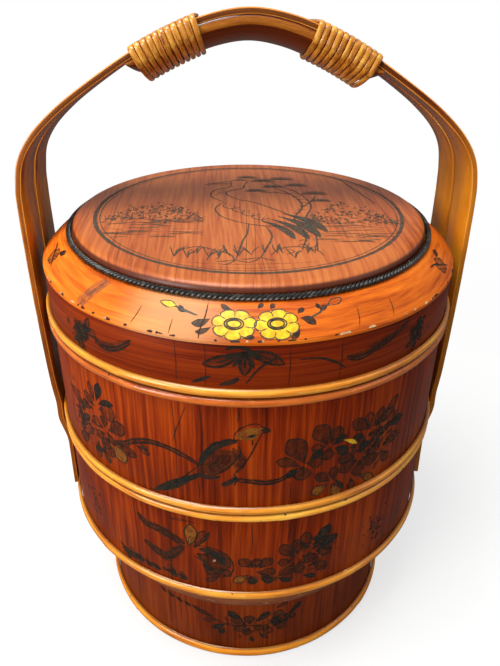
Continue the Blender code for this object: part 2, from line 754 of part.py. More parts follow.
def main():
    """Build the basket."""
    clear_scene()
    group = make_collection(COLLECTION_NAME)
    holes = make_collection("peg_hole_cutters")
    bamboo = make_material("lacquered bamboo", (0.45, 0.11, 0.025), 0.35)
    hoop = make_material("golden hoop", (0.74, 0.28, 0.05), 0.30)
    board = make_material("plain board", (0.30, 0.12, 0.05), 0.60)
    panel = make_material("red panel", (0.50, 0.15, 0.07), 0.35)
    cord = make_material("black cord", (0.02, 0.02, 0.02), 0.50)
    strip = make_material("bent strip", (0.40, 0.13, 0.03), 0.32)
    grip = make_material("dark grip", (0.15, 0.04, 0.015), 0.35)
    cane = make_material("rattan cane", (0.72, 0.33, 0.05), 0.40)
    peg = make_material("bamboo peg", (0.35, 0.15, 0.05), 0.50)
    frame = make_handle_frame(group)
    make_holes(frame, holes)
    build_foot(group, bamboo, hoop)
    build_lower_tier(group, bamboo, hoop, board, holes)
    build_middle_tier(group, bamboo, hoop, board)
    build_lid(group, bamboo, hoop, panel, cord)
    build_handle(frame, group, strip, grip, cane, peg, holes)
    bpy.context.view_layer.update()


main()
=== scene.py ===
"""Finished look of a tiered bamboo food basket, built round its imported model.

Metres, +Z up. The painted front faces -Y, the handle spans X, and the floor is at Z = 0.
"""

import logging
import math
import random
from dataclasses import dataclass
from enum import Enum
from typing import Callable, Sequence

import bpy
import numpy as np
from mathutils import Matrix, Vector


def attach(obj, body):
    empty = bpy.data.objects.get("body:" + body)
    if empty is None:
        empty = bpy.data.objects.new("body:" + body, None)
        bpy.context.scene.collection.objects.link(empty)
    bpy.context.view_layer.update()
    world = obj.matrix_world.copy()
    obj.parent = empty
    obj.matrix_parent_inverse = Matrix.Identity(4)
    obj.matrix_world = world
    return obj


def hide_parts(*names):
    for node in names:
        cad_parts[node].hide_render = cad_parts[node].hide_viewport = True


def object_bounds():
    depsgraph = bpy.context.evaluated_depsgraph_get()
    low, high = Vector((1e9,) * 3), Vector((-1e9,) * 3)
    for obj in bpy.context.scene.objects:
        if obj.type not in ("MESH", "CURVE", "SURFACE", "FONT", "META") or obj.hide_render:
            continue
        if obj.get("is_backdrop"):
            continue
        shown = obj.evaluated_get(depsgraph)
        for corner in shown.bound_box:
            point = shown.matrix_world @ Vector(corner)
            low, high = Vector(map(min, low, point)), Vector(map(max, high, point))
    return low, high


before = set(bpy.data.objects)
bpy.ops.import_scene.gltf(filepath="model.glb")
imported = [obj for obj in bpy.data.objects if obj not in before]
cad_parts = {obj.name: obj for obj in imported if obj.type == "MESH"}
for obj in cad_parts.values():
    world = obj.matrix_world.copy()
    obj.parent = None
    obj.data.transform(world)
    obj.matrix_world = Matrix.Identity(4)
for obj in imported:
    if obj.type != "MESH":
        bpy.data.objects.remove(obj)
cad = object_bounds()

LOG = logging.getLogger("basket")
MM = 0.001
TURN_STEPS = 256
HOOP_STEPS = 384
SMOOTH_ANGLE = math.radians(38.0)
MERGE = 0.000002
FRONT_TURN = math.radians(-3.26)

Pair = tuple[float, float]
Colour = tuple[float, float, float]


# Shader maths
class Signal:
    """A shader socket that takes part in Python expressions."""

    def __init__(self, board: "Board", socket: bpy.types.NodeSocket) -> None:
        """Keep the socket and the board that makes new nodes."""
        self.board = board
        self.socket = socket

    def _math(self, operation: str, *values: "Signal | float") -> "Signal":
        """Return one Math node on the values."""
        return self.board.node("Math", {"operation": operation}, dict(enumerate(values)))

    def __add__(self, other: "Signal | float") -> "Signal":
        """Return the sum."""
        return self._math("ADD", self, other)

    __radd__ = __add__

    def __sub__(self, other: "Signal | float") -> "Signal":
        """Return the difference."""
        return self._math("SUBTRACT", self, other)

    def __rsub__(self, other: float) -> "Signal":
        """Return the difference from a number."""
        return self._math("SUBTRACT", other, self)

    def __mul__(self, other: "Signal | float") -> "Signal":
        """Return the product."""
        return self._math("MULTIPLY", self, other)

    __rmul__ = __mul__

    def above(self, low: float, high: float) -> "Signal":
        """Return 0 below low, 1 above high and a smooth step between them."""
        settings = {"interpolation_type": "SMOOTHSTEP"}
        return self.board.node("MapRange", settings, {"Value": self, "From Min": low, "From Max": high})


class Board:
    """Node tree of one material, with the coordinates and patterns that its finish reads."""

    def __init__(self, name: str) -> None:
        """Start a material with a Principled shader."""
        self.material = bpy.data.materials.new(name)
        self.open_tree(self.material)
        self.shader = self.nodes["Principled BSDF"]

    def open_tree(self, owner: bpy.types.Material | bpy.types.World) -> None:
        """Use the nodes of a material or world."""
        owner.use_nodes = True
        self.nodes = owner.node_tree.nodes
        self.links = owner.node_tree.links

    @classmethod
    def of_tree(cls, world: bpy.types.World) -> "Board":
        """Return a board for a world, with no nodes on it."""
        board = cls.__new__(cls)
        board.open_tree(world)
        board.nodes.clear()
        return board

    def node(
        self, kind: str, settings: dict | None = None, values: dict | None = None, output: int | str | None = 0
    ) -> Signal | None:
        """Add a node.

        Args:
            kind: Node type without its ShaderNode prefix.
            settings: Node properties, and "stops" for the stops of a colour ramp.
            values: Value, or Signal to link, of each input by name or number.
            output: Name or number of the output to return.

        Returns:
            The chosen output.
        """
        node = self.nodes.new(f"ShaderNode{kind}")
        for key, value in (settings or {}).items():
            if key == "stops":
                self._set_stops(node.color_ramp, value)
            else:
                setattr(node, key, value)
        for key, value in (values or {}).items():
            self.feed(node.inputs[key], value)
        return Signal(self, node.outputs[output]) if output is not None else None

    @staticmethod
    def _set_stops(ramp: bpy.types.ColorRamp, stops: Sequence[tuple[float, Colour]]) -> None:
        """Give a colour ramp its stops, as (place, colour) pairs."""
        for place, _ in stops[2:]:
            ramp.elements.new(place)
        for element, (place, colour) in zip(ramp.elements, stops):
            element.position = place
            element.color = (*colour, 1.0)

    def feed(self, socket: bpy.types.NodeSocket, value: object) -> None:
        """Link a Signal to a socket, or set the socket's own value."""
        if isinstance(value, Signal):
            self.links.new(value.socket, socket)
        elif socket.type == "RGBA" and len(value) == 3:
            socket.default_value = (*value, 1.0)
        else:
            socket.default_value = value

    def finish(self, **values: object) -> bpy.types.Material:
        """Feed the Principled shader, each socket by its name with underscores, and return the material."""
        for key, value in values.items():
            self.feed(self.shader.inputs[key.replace("_", " ")], value)
        return self.material

    def mix(self, factor: Signal | float, low: object, high: object, blend: str = "MIX") -> Signal:
        """Mix two colours by a factor."""
        settings = {"data_type": "RGBA", "blend_type": blend}
        return self.node("Mix", settings, {0: factor, 6: low, 7: high}, 2)

    def axes(self) -> tuple[Signal, Signal, Signal]:
        """Return the X, Y and Z of Object coordinates."""
        place = self.node("TexCoord", output="Object")
        split = self.node("SeparateXYZ", values={0: place}).socket.node
        return tuple(Signal(self, split.outputs[index]) for index in range(3))

    def turn(self) -> tuple[Signal, Signal, Signal]:
        """Return the turn round Z in radians from the front, the distance from Z, and the height."""
        across, deep, height = self.axes()
        angle = self.node("Math", {"operation": "ARCTAN2"}, {0: across, 1: deep * -1.0})
        reach = self.node("Math", {"operation": "SQRT"}, {0: across * across + deep * deep})
        return angle, reach, height

    def vector(self, x: Signal | float, y: Signal | float, z: Signal | float) -> Signal:
        """Join three numbers into a vector."""
        return self.node("CombineXYZ", values={0: x, 1: y, 2: z})

    def noise(self, place: Signal, scale: float = 1.0, detail: float = 3.0, rough: float = 0.55) -> Signal:
        """Return the value of a noise at a place."""
        return self.node("TexNoise", None, {"Vector": place, "Scale": scale, "Detail": detail, "Roughness": rough})

    def ramp(self, value: Signal, stops: Sequence[tuple[float, Colour]]) -> Signal:
        """Return the colour of a ramp at a value."""
        return self.node("ValToRGB", {"stops": stops}, {0: value})

    def bump(self, height: Signal, distance: float, strength: float = 1.0) -> Signal:
        """Return a normal that follows a height."""
        return self.node("Bump", None, {"Height": height, "Distance": distance, "Strength": strength}, "Normal")


# Finishes
class Grain(Enum):
    """How the fibres of a board or ring run."""

    UPRIGHT = "upright"
    AROUND = "around"
    FRONT_TO_BACK = "front to back"
    ALONG_UV = "along the piece"


@dataclass(frozen=True)
class Lacquer:
    """Lacquered bamboo or wood: streaked colour, hairlines, worn patches and a clear coat."""

    name: str
    grain: Grain
    dark: Colour
    body: Colour
    light: Colour
    streak: float = 420.0
    along: float = 9.0
    roughness: float = 0.34
    shine: float = 0.35
    coat: float = 0.08
    relief: float = 0.00010
    patch: float = 9.0
    # Painted shade towards the sides seen from the front, broken into soot-like clouds.
    side_shade_and_soot: float = 0.0
    panel_width: float = 0.045
    line_strength: float = 0.45
    contrast: float = 1.0
    shade_below: float | None = None
    # Painted highlight: the turn from the front of a paler patch.
    painted_highlight_at: float | None = None
    # Painted light: golden on the right side; also darker towards the crown.
    lit_right_dark_crown: bool = False

    def place(self, board: Board) -> tuple[Signal, Signal, Signal]:
        """Return the coordinate along the fibres, the one across them, and the depth, in metres."""
        if self.grain is Grain.ALONG_UV:
            spot = board.node("UVMap", {"uv_map": "UVMap"})
            split = board.node("SeparateXYZ", values={0: spot}).socket.node
            return Signal(board, split.outputs[0]), Signal(board, split.outputs[1]), board.axes()[2]
        if self.grain is Grain.FRONT_TO_BACK:
            across, deep, height = board.axes()
            return deep, across, height
        angle, reach, height = board.turn()
        if self.grain is Grain.UPRIGHT:
            return height, angle * 0.15, reach
        return angle * 0.15, height, reach

    def make(self) -> bpy.types.Material:
        """Build the material."""
        board = Board(self.name)
        along, across, depth = self.place(board)
        wander = board.noise(board.vector(along * 14.0, across * 14.0, depth * 14.0), 1.0, 2.0) - 0.5
        crossing = across + wander * 0.004
        streaks = board.noise(board.vector(along * self.along, crossing * self.streak, depth * 30.0), 1.0, 4.0, 0.62)
        fibres = board.noise(
            board.vector(along * self.along * 4.0, crossing * self.streak * 4.5, depth * 90.0), 1.0, 3.0, 0.6
        )
        patches = board.noise(board.vector(along * self.patch * 0.6, across * self.patch * 1.6, depth * 9.0), 1.0, 3.0)
        strips = board.noise(board.vector(along * 1.5, across * (1.0 / self.panel_width), 3.7), 1.0, 0.0)
        tone = streaks * 0.48 + patches * 0.34 + fibres * 0.10 + strips * 0.14
        middle = tuple((low + high) / 2 for low, high in zip(self.body, self.light))
        tone = (tone - 0.5) * self.contrast + 0.5
        colour = board.ramp(tone, ((0.36, self.dark), (0.50, self.body), (0.60, middle), (0.72, self.light)))
        lines = board.noise(board.vector(along * self.along * 0.8, crossing * self.streak * 1.7, 8.3), 1.0, 2.0)
        pores = lines.above(0.60, 0.74) * self.line_strength
        colour = board.mix(pores, colour, tuple(part * 0.32 for part in self.dark))
        # Painted shade: darker clouds towards both sides as seen from the front, where the wall turns away from the
        # light, broken up like soot stains.
        if self.side_shade_and_soot:
            angle = board.turn()[0]
            sides = board.node("Math", {"operation": "ABSOLUTE"}, {0: angle + 0.06}).above(0.95, 1.75)
            cloud = board.noise(board.vector(along * 22.0, across * 22.0, 1.9), 1.0, 4.0, 0.65).above(0.42, 0.66)
            colour = board.mix(sides * cloud * self.side_shade_and_soot, colour, (0.045, 0.030, 0.020))
        if self.shade_below is not None:
            low = 1.0 - board.axes()[2].above(self.shade_below - 0.0014, self.shade_below)
            colour = board.mix(low * 0.92, colour, tuple(part * 0.40 for part in self.dark))
        # Painted highlight: a paler patch round this turn from the front, where the lamp's sheen falls.
        if self.painted_highlight_at is not None:
            away = board.node("Math", {"operation": "ABSOLUTE"}, {0: board.turn()[0] - self.painted_highlight_at})
            colour = board.mix((1.0 - away.above(0.06, 0.30)) * 0.55, colour, (0.60, 0.33, 0.15))
        # Darker towards the top, above 0.36 m, and painted light: golden on the right side, where the left lamp lights
        # the strips' inner faces.
        if self.lit_right_dark_crown:
            side, _, height = board.axes()
            colour = board.mix(height.above(0.36, 0.46) * 0.62, colour, tuple(part * 0.7 for part in self.dark))
            golden = side.above(0.06, 0.14) * (1.0 - height.above(0.36, 0.44))
            colour = board.mix(golden * 0.48, colour, (0.72, 0.27, 0.012))
        gloss = streaks * 0.16 + patches * 0.12 + (self.roughness - 0.13)
        normal = board.bump(streaks * 0.5 + fibres * 0.3 - pores * 0.8, self.relief * 4.0, 0.55)
        return board.finish(
            Base_Color=colour,
            Roughness=gloss,
            Normal=normal,
            Specular_IOR_Level=self.shine,
            Coat_Weight=self.coat,
            Coat_Roughness=0.16,
        )


@dataclass(frozen=True)
class HoopLacquer:
    """Glossy split bamboo hoop: golden skin, painted shade at its top and bottom edges, rubbed spots."""

    name: str
    dark: Colour
    body: Colour
    light: Colour
    middle: float
    height: float
    worn: float = 0.5

    def make(self) -> bpy.types.Material:
        """Build the material."""
        board = Board(self.name)
        angle, _, height = board.turn()
        arc = angle * 0.16
        streaks = board.noise(board.vector(arc * 24.0, height * 1500.0, 1.0), 1.0, 3.0, 0.6)
        patches = board.noise(board.vector(arc * 17.0, height * 130.0, 5.0), 1.0, 4.0, 0.6)
        worn = board.noise(board.vector(arc * 60.0, height * 500.0, 9.0), 1.0, 4.0, 0.7).above(0.60, 0.70)
        tone = streaks * 0.35 + patches * 0.65
        colour = board.ramp(tone, ((0.34, self.dark), (0.48, self.body), (0.66, self.light)))
        # Painted shade: the top and bottom edges darken where the hoop meets the wall and the next hoop.
        away = board.node("Math", {"operation": "ABSOLUTE"}, {0: (height - self.middle) * (2.0 / self.height)})
        edge = away.above(0.70, 1.0)
        colour = board.mix(edge * 0.75, colour, tuple(part * 0.30 for part in self.dark))
        colour = board.mix(worn * self.worn, colour, (0.78, 0.50, 0.22))
        nicks = board.noise(board.vector(arc * 130.0, height * 300.0, 2.0), 1.0, 2.0, 0.5).above(0.70, 0.74)
        colour = board.mix(nicks * 0.85, colour, (0.050, 0.018, 0.008))
        gloss = patches * 0.20 + 0.14 + worn * 0.12
        normal = board.bump(streaks * 0.5 - nicks * 1.2 - worn * 0.2, 0.0004, 0.5)
        return board.finish(
            Base_Color=colour, Roughness=gloss, Normal=normal, Specular_IOR_Level=0.45, Coat_Weight=0.25, Coat_Roughness=0.12
        )


@dataclass(frozen=True)
class PlainBoard:
    """Bare inner wood, rubbed with brown stain."""

    name: str

    def make(self) -> bpy.types.Material:
        """Build the material."""
        board = Board(self.name)
        across, deep, height = board.axes()
        streaks = board.noise(board.vector(across * 260.0, deep * 9.0, height * 9.0), 1.0, 4.0, 0.6)
        patches = board.noise(board.vector(across * 16.0, deep * 16.0, height * 16.0), 1.0, 2.0)
        tone = streaks * 0.6 + patches * 0.4
        colour = board.ramp(tone, ((0.34, (0.12, 0.045, 0.018)), (0.5, (0.26, 0.11, 0.045)), (0.68, (0.42, 0.20, 0.09))))
        return board.finish(
            Base_Color=colour, Roughness=streaks * 0.2 + 0.5, Normal=board.bump(streaks, 0.0004, 0.5)
        )


@dataclass(frozen=True)
class Cane:
    """Varnished rattan: golden skin with brown patches, fine lengthwise lines and node rings."""

    name: str

    def make(self) -> bpy.types.Material:
        """Build the material from the piece's own UV map: U along the cane, V round it, in metres."""
        board = Board(self.name)
        spot = board.node("UVMap", {"uv_map": "UVMap"})
        split = board.node("SeparateXYZ", values={0: spot}).socket.node
        along, across = (Signal(board, split.outputs[index]) for index in range(2))
        lines = board.noise(board.vector(along * 60.0, across * 3600.0, 1.0), 1.0, 3.0, 0.6)
        patches = board.noise(board.vector(along * 70.0, across * 260.0, 4.0), 1.0, 4.0, 0.62)
        tone = lines * 0.25 + patches * 0.75
        colour = board.ramp(
            tone,
            ((0.36, (0.20, 0.045, 0.006)), (0.46, (0.46, 0.16, 0.014)), (0.56, (0.66, 0.30, 0.030)), (0.68, (0.86, 0.50, 0.10))),
        )
        rings = board.noise(board.vector(along * 26.0, 2.0, 1.0), 1.0, 0.0).above(0.735, 0.75)
        colour = board.mix(rings * 0.6, colour, (0.10, 0.030, 0.008))
        return board.finish(
            Base_Color=colour,
            Roughness=patches * 0.25 + 0.18,
            Normal=board.bump(lines * 0.5 + patches * 0.3, 0.0003, 0.5),
            Coat_Weight=0.35,
            Coat_Roughness=0.15,
        )


@dataclass(frozen=True)
class Cord:
    """Black waxed cord with grey shine on the crowns of its strands."""

    name: str

    def make(self) -> bpy.types.Material:
        """Build the material."""
        board = Board(self.name)
        place = board.node("TexCoord", output="Object")
        fuzz = board.noise(place, 1400.0, 3.0)
        dust = board.noise(place, 160.0, 3.0).above(0.50, 0.68)
        colour = board.mix(dust * 0.40, (0.007, 0.007, 0.006), (0.110, 0.100, 0.080))
        return board.finish(
            Base_Color=colour, Roughness=fuzz * 0.25 + 0.20, Normal=board.bump(fuzz, 0.0003, 0.5)
        )


@dataclass(frozen=True)
class Paint:
    """Brushed ornament colour, thin in places so that the lacquer shows through."""

    name: str
    colour: Colour
    second: Colour
    cover: float = 1.0
    patchy: float = 0.0
    roughness: float = 0.50

    def make(self) -> bpy.types.Material:
        """Build the material."""
        board = Board(self.name)
        place = board.node("TexCoord", output="Object")
        blot = board.noise(place, 260.0, 3.0, 0.6)
        fine = board.noise(place, 1500.0, 2.0, 0.6)
        colour = board.mix(blot.above(0.38, 0.62), self.colour, self.second)
        thin = (blot * 0.5 + fine * 0.5).above(0.44, 0.56)
        alpha = (1.0 - thin * self.patchy) * self.cover
        return board.finish(
            Base_Color=colour, Roughness=fine * 0.2 + (self.roughness - 0.1), Alpha=alpha, Specular_IOR_Level=0.25
        )


class Ink(Enum):
    """Paints of the ornament."""

    LINE = Paint("ink_line", (0.009, 0.007, 0.005), (0.024, 0.018, 0.011), 0.94, 0.25)
    SOLID = Paint("ink_solid", (0.010, 0.011, 0.009), (0.026, 0.022, 0.014), 0.93, 0.30)
    WASH = Paint("ink_wash", (0.040, 0.011, 0.006), (0.075, 0.026, 0.009), 0.66, 0.45)
    SHADE = Paint("ink_shade", (0.028, 0.018, 0.011), (0.050, 0.026, 0.013), 0.45, 0.55)
    GREY = Paint("ink_grey", (0.070, 0.062, 0.046), (0.045, 0.040, 0.030), 0.90, 0.35)
    GREY_WASH = Paint("ink_grey_wash", (0.16, 0.075, 0.045), (0.11, 0.065, 0.045), 0.50, 0.65)
    YELLOW = Paint("paint_yellow", (0.84, 0.52, 0.020), (0.66, 0.36, 0.012), 1.0, 0.10, 0.42)
    GOLD = Paint("paint_gold", (0.30, 0.105, 0.012), (0.20, 0.065, 0.010), 0.78, 0.30)
    CRACK = Paint("crack", (0.020, 0.008, 0.004), (0.030, 0.012, 0.006), 1.0, 0.0, 0.7)
    CHIP = Paint("chip", (0.62, 0.42, 0.24), (0.48, 0.26, 0.12), 1.0, 0.25, 0.6)


# Modelling
def open_edit(item: bpy.types.Object) -> None:
    """Make an object the only selected one and edit it."""
    if bpy.context.object and bpy.context.object.mode == "EDIT":
        bpy.ops.object.mode_set(mode="OBJECT")
    bpy.ops.object.select_all(action="DESELECT")
    bpy.context.view_layer.objects.active = item
    item.select_set(True)
    bpy.ops.object.mode_set(mode="EDIT")


def close_edit(item: bpy.types.Object, angle: float = SMOOTH_ANGLE) -> bpy.types.Object:
    """Leave edit mode and shade the faces smooth up to an angle."""
    bpy.ops.object.mode_set(mode="OBJECT")
    bpy.ops.object.shade_smooth_by_angle(angle=angle)
    bpy.ops.object.select_all(action="DESELECT")
    return item


def turned(name: str, profile: Sequence[Pair], steps: int = TURN_STEPS, solid: bool = False) -> bpy.types.Object:
    """Model a round piece from a circle that is extruded and scaled from point to point of its profile.

    Args:
        name: Name of the piece.
        profile: (radius, height) points down the outer side, from the top inner edge round to the last point.
        steps: Segments round the piece.
        solid: Close both ends with a face, in place of joining the last ring to the first.

    Returns:
        The piece.
    """
    bpy.ops.object.select_all(action="DESELECT")
    radius, height = profile[0]
    bpy.ops.mesh.primitive_circle_add(vertices=steps, radius=radius, location=(0.0, 0.0, 0.0))
    item = bpy.context.object
    item.name = name
    open_edit(item)
    bpy.ops.mesh.select_all(action="SELECT")
    bpy.ops.transform.translate(value=(0.0, 0.0, height))
    if solid:
        bpy.ops.mesh.edge_face_add()
        bpy.ops.mesh.select_all(action="SELECT")
        bpy.ops.mesh.select_non_manifold(extend=False, use_wire=False, use_multi_face=False, use_non_contiguous=False, use_verts=False)
    for next_radius, next_height in profile[1:]:
        bpy.ops.mesh.extrude_edges_move(TRANSFORM_OT_translate={"value": (0.0, 0.0, next_height - height)})
        share = next_radius / radius
        bpy.ops.transform.resize(value=(share, share, 1.0), center_override=(0.0, 0.0, next_height))
        radius, height = next_radius, next_height
    if solid:
        bpy.ops.mesh.edge_face_add()
    else:
        bpy.ops.mesh.select_non_manifold(extend=False, use_wire=False, use_multi_face=False, use_non_contiguous=False, use_verts=False)
        bpy.ops.mesh.bridge_edge_loops()
    bpy.ops.mesh.select_all(action="SELECT")
    bpy.ops.mesh.normals_make_consistent(inside=False)
    return close_edit(item)


def bent_grid(
    name: str,
    columns: int,
    rows: int,
    place: Callable[[float, float], Vector],
    wrapped: bool = True,
    capped: bool = True,
    lengths: Callable[[float, float], Pair] | None = None,
) -> bpy.types.Object:
    """Model a long piece from a grid whose rows are bent to sections along a path.

    Args:
        name: Name of the piece.
        columns: Faces across a section.
        rows: Faces along the path.
        place: Point for a share across and a share along, both from 0 to 1.
        wrapped: The sections are closed.
        capped: The two ends are filled.
        lengths: UV in metres for the same shares.

    Returns:
        The piece.
    """
    bpy.ops.object.select_all(action="DESELECT")
    bpy.ops.mesh.primitive_grid_add(x_subdivisions=columns, y_subdivisions=rows, size=2.0)
    item = bpy.context.object
    item.name = name
    mesh = item.data
    shares = [((vertex.co.x + 1.0) / 2.0, (vertex.co.y + 1.0) / 2.0) for vertex in mesh.vertices]
    if lengths:
        spread = mesh.uv_layers[0] if mesh.uv_layers else mesh.uv_layers.new(name="UVMap")
        spread.name = "UVMap"
        for loop in mesh.loops:
            spread.data[loop.index].uv = lengths(*shares[loop.vertex_index])
    for vertex, share in zip(mesh.vertices, shares):
        vertex.co = place(*share)
    open_edit(item)
    bpy.ops.mesh.select_all(action="SELECT")
    if wrapped:
        bpy.ops.mesh.remove_doubles(threshold=MERGE)
    if capped:
        bpy.ops.mesh.select_all(action="DESELECT")
        bpy.ops.mesh.select_non_manifold(extend=False, use_wire=False, use_multi_face=False, use_non_contiguous=False, use_verts=False)
        bpy.ops.mesh.fill_holes(sides=0)
    bpy.ops.mesh.select_all(action="SELECT")
    bpy.ops.mesh.normals_make_consistent(inside=False)
    return close_edit(item)


def joined(name: str, items: Sequence[bpy.types.Object]) -> bpy.types.Object:
    """Join several objects into one under a name."""
    bpy.ops.object.select_all(action="DESELECT")
    for item in items:
        item.select_set(True)
    bpy.context.view_layer.objects.active = items[0]
    bpy.ops.object.join()
    items[0].name = name
    bpy.ops.object.select_all(action="DESELECT")
    return items[0]


def dress(
    item: bpy.types.Object, body: str, slot: str, finishes: Sequence[bpy.types.Material], nodes: Sequence[str] = ()
) -> bpy.types.Object:
    """Give a piece its finishes and its body, and hide the CAD nodes that it stands for."""
    for finish in finishes:
        item.data.materials.append(finish)
    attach(item, body)
    if nodes:
        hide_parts(*nodes)
    LOG.info("%s: %d faces on %s", item.name, len(item.data.polygons), body)
    return item


def smooth_curve(points: Sequence[Vector], samples: int) -> list[Vector]:
    """Catmull-Rom curve through points.

    Args:
        points: Points to pass through.
        samples: Samples in each span.

    Returns:
        The points of the curve.
    """
    ends = [2 * points[0] - points[1], *points, 2 * points[-1] - points[-2]]
    curve = []
    for before, start, end, after in zip(ends, ends[1:], ends[2:], ends[3:]):
        for step in range(samples):
            t = step / samples
            curve.append(
                (2 * t**3 - 3 * t**2 + 1) * start
                + (t**3 - 2 * t**2 + t) * (end - before) / 2
                + (3 * t**2 - 2 * t**3) * end
                + (t**3 - t**2) * (after - start) / 2
            )
    curve.append(points[-1].copy())
    return curve


def ease(value: float, start: float, end: float) -> float:
    """Smooth step from 0 at the start to 1 at the end."""
    share = min(max((value - start) / (end - start), 0.0), 1.0)
    return share * share * (3 - 2 * share)


# Round pieces
@dataclass
class Walls:
    """Round walls of the foot, the tiers and the lid."""

    radius: float = 0.1564
    thickness: float = 0.0048
    edge: float = 0.0008
    foot_radius: float = 0.1322
    foot_thickness: float = 0.0050

    def ring(self, name: str, radius: float, thickness: float, bottom: float, top: float) -> bpy.types.Object:
        """Model one plain ring with eased edges."""
        soft = self.edge
        profile = [
            (radius - thickness + soft / 2, top),
            (radius - soft, top),
            (radius - soft * 0.3, top - soft * 0.3),
            (radius, top - soft),
            (radius, bottom + soft),
            (radius - soft * 0.3, bottom + soft * 0.3),
            (radius - soft, bottom),
            (radius - thickness + soft / 2, bottom),
            (radius - thickness, bottom + soft / 2),
            (radius - thickness, top - soft / 2),
        ]
        return turned(name, profile)

    def build(self) -> None:
        """Model and dress the four walls."""
        # Each wall darkens towards its sides: painted shade, in soot-like clouds.
        foot = Lacquer(
            "foot_lacquer", Grain.UPRIGHT, (0.055, 0.006, 0.001), (0.16, 0.019, 0.002), (0.32, 0.050, 0.004), side_shade_and_soot=0.7,
            roughness=0.42, shine=0.13, coat=0.0, contrast=1.3,
        )
        lower = Lacquer(
            "lower_wall_lacquer", Grain.UPRIGHT, (0.060, 0.006, 0.001), (0.19, 0.018, 0.001), (0.40, 0.055, 0.002), side_shade_and_soot=0.7,
            roughness=0.42, shine=0.13, coat=0.0, contrast=1.3,
        )
        middle = Lacquer(
            "middle_wall_lacquer", Grain.UPRIGHT, (0.070, 0.006, 0.001), (0.23, 0.021, 0.001), (0.48, 0.072, 0.002), side_shade_and_soot=0.7,
            roughness=0.42, shine=0.13, coat=0.0, contrast=1.3,
        )
        lid = Lacquer(
            "lid_wall_lacquer", Grain.AROUND, (0.060, 0.005, 0.001), (0.17, 0.015, 0.001), (0.31, 0.038, 0.002), side_shade_and_soot=0.7,
            roughness=0.42, shine=0.13, coat=0.0, contrast=1.2,
        )
        rows = (
            ("foot_wall", "base", "foot_wall", foot, self.foot_radius, self.foot_thickness, 0.0, 0.1110),
            ("lower_tier_wall", "base", "tier_wall", lower, self.radius, self.thickness, 0.1090, 0.1983),
            ("middle_tier_wall", "middle_tier", "tier_wall", middle, self.radius, self.thickness, 0.1986, 0.2967),
            ("lid_wall", "lid", "lid_wall", lid, self.radius, self.thickness, 0.2970, 0.3335),
        )
        for node, body, slot, lacquer, radius, thickness, bottom, top in rows:
            item = self.ring(f"{node}_round", radius, thickness, bottom, top)
            dress(item, body, slot, [lacquer.make()], [node])


@dataclass(frozen=True)
class HoopPlan:
    """One split bamboo hoop: its node, place, colours and the angles of its joints and knots."""

    node: str
    body: str
    inner: float
    outer: float
    bottom: float
    height: float
    tone: Colour
    scarf: float
    knots: tuple[float, ...]


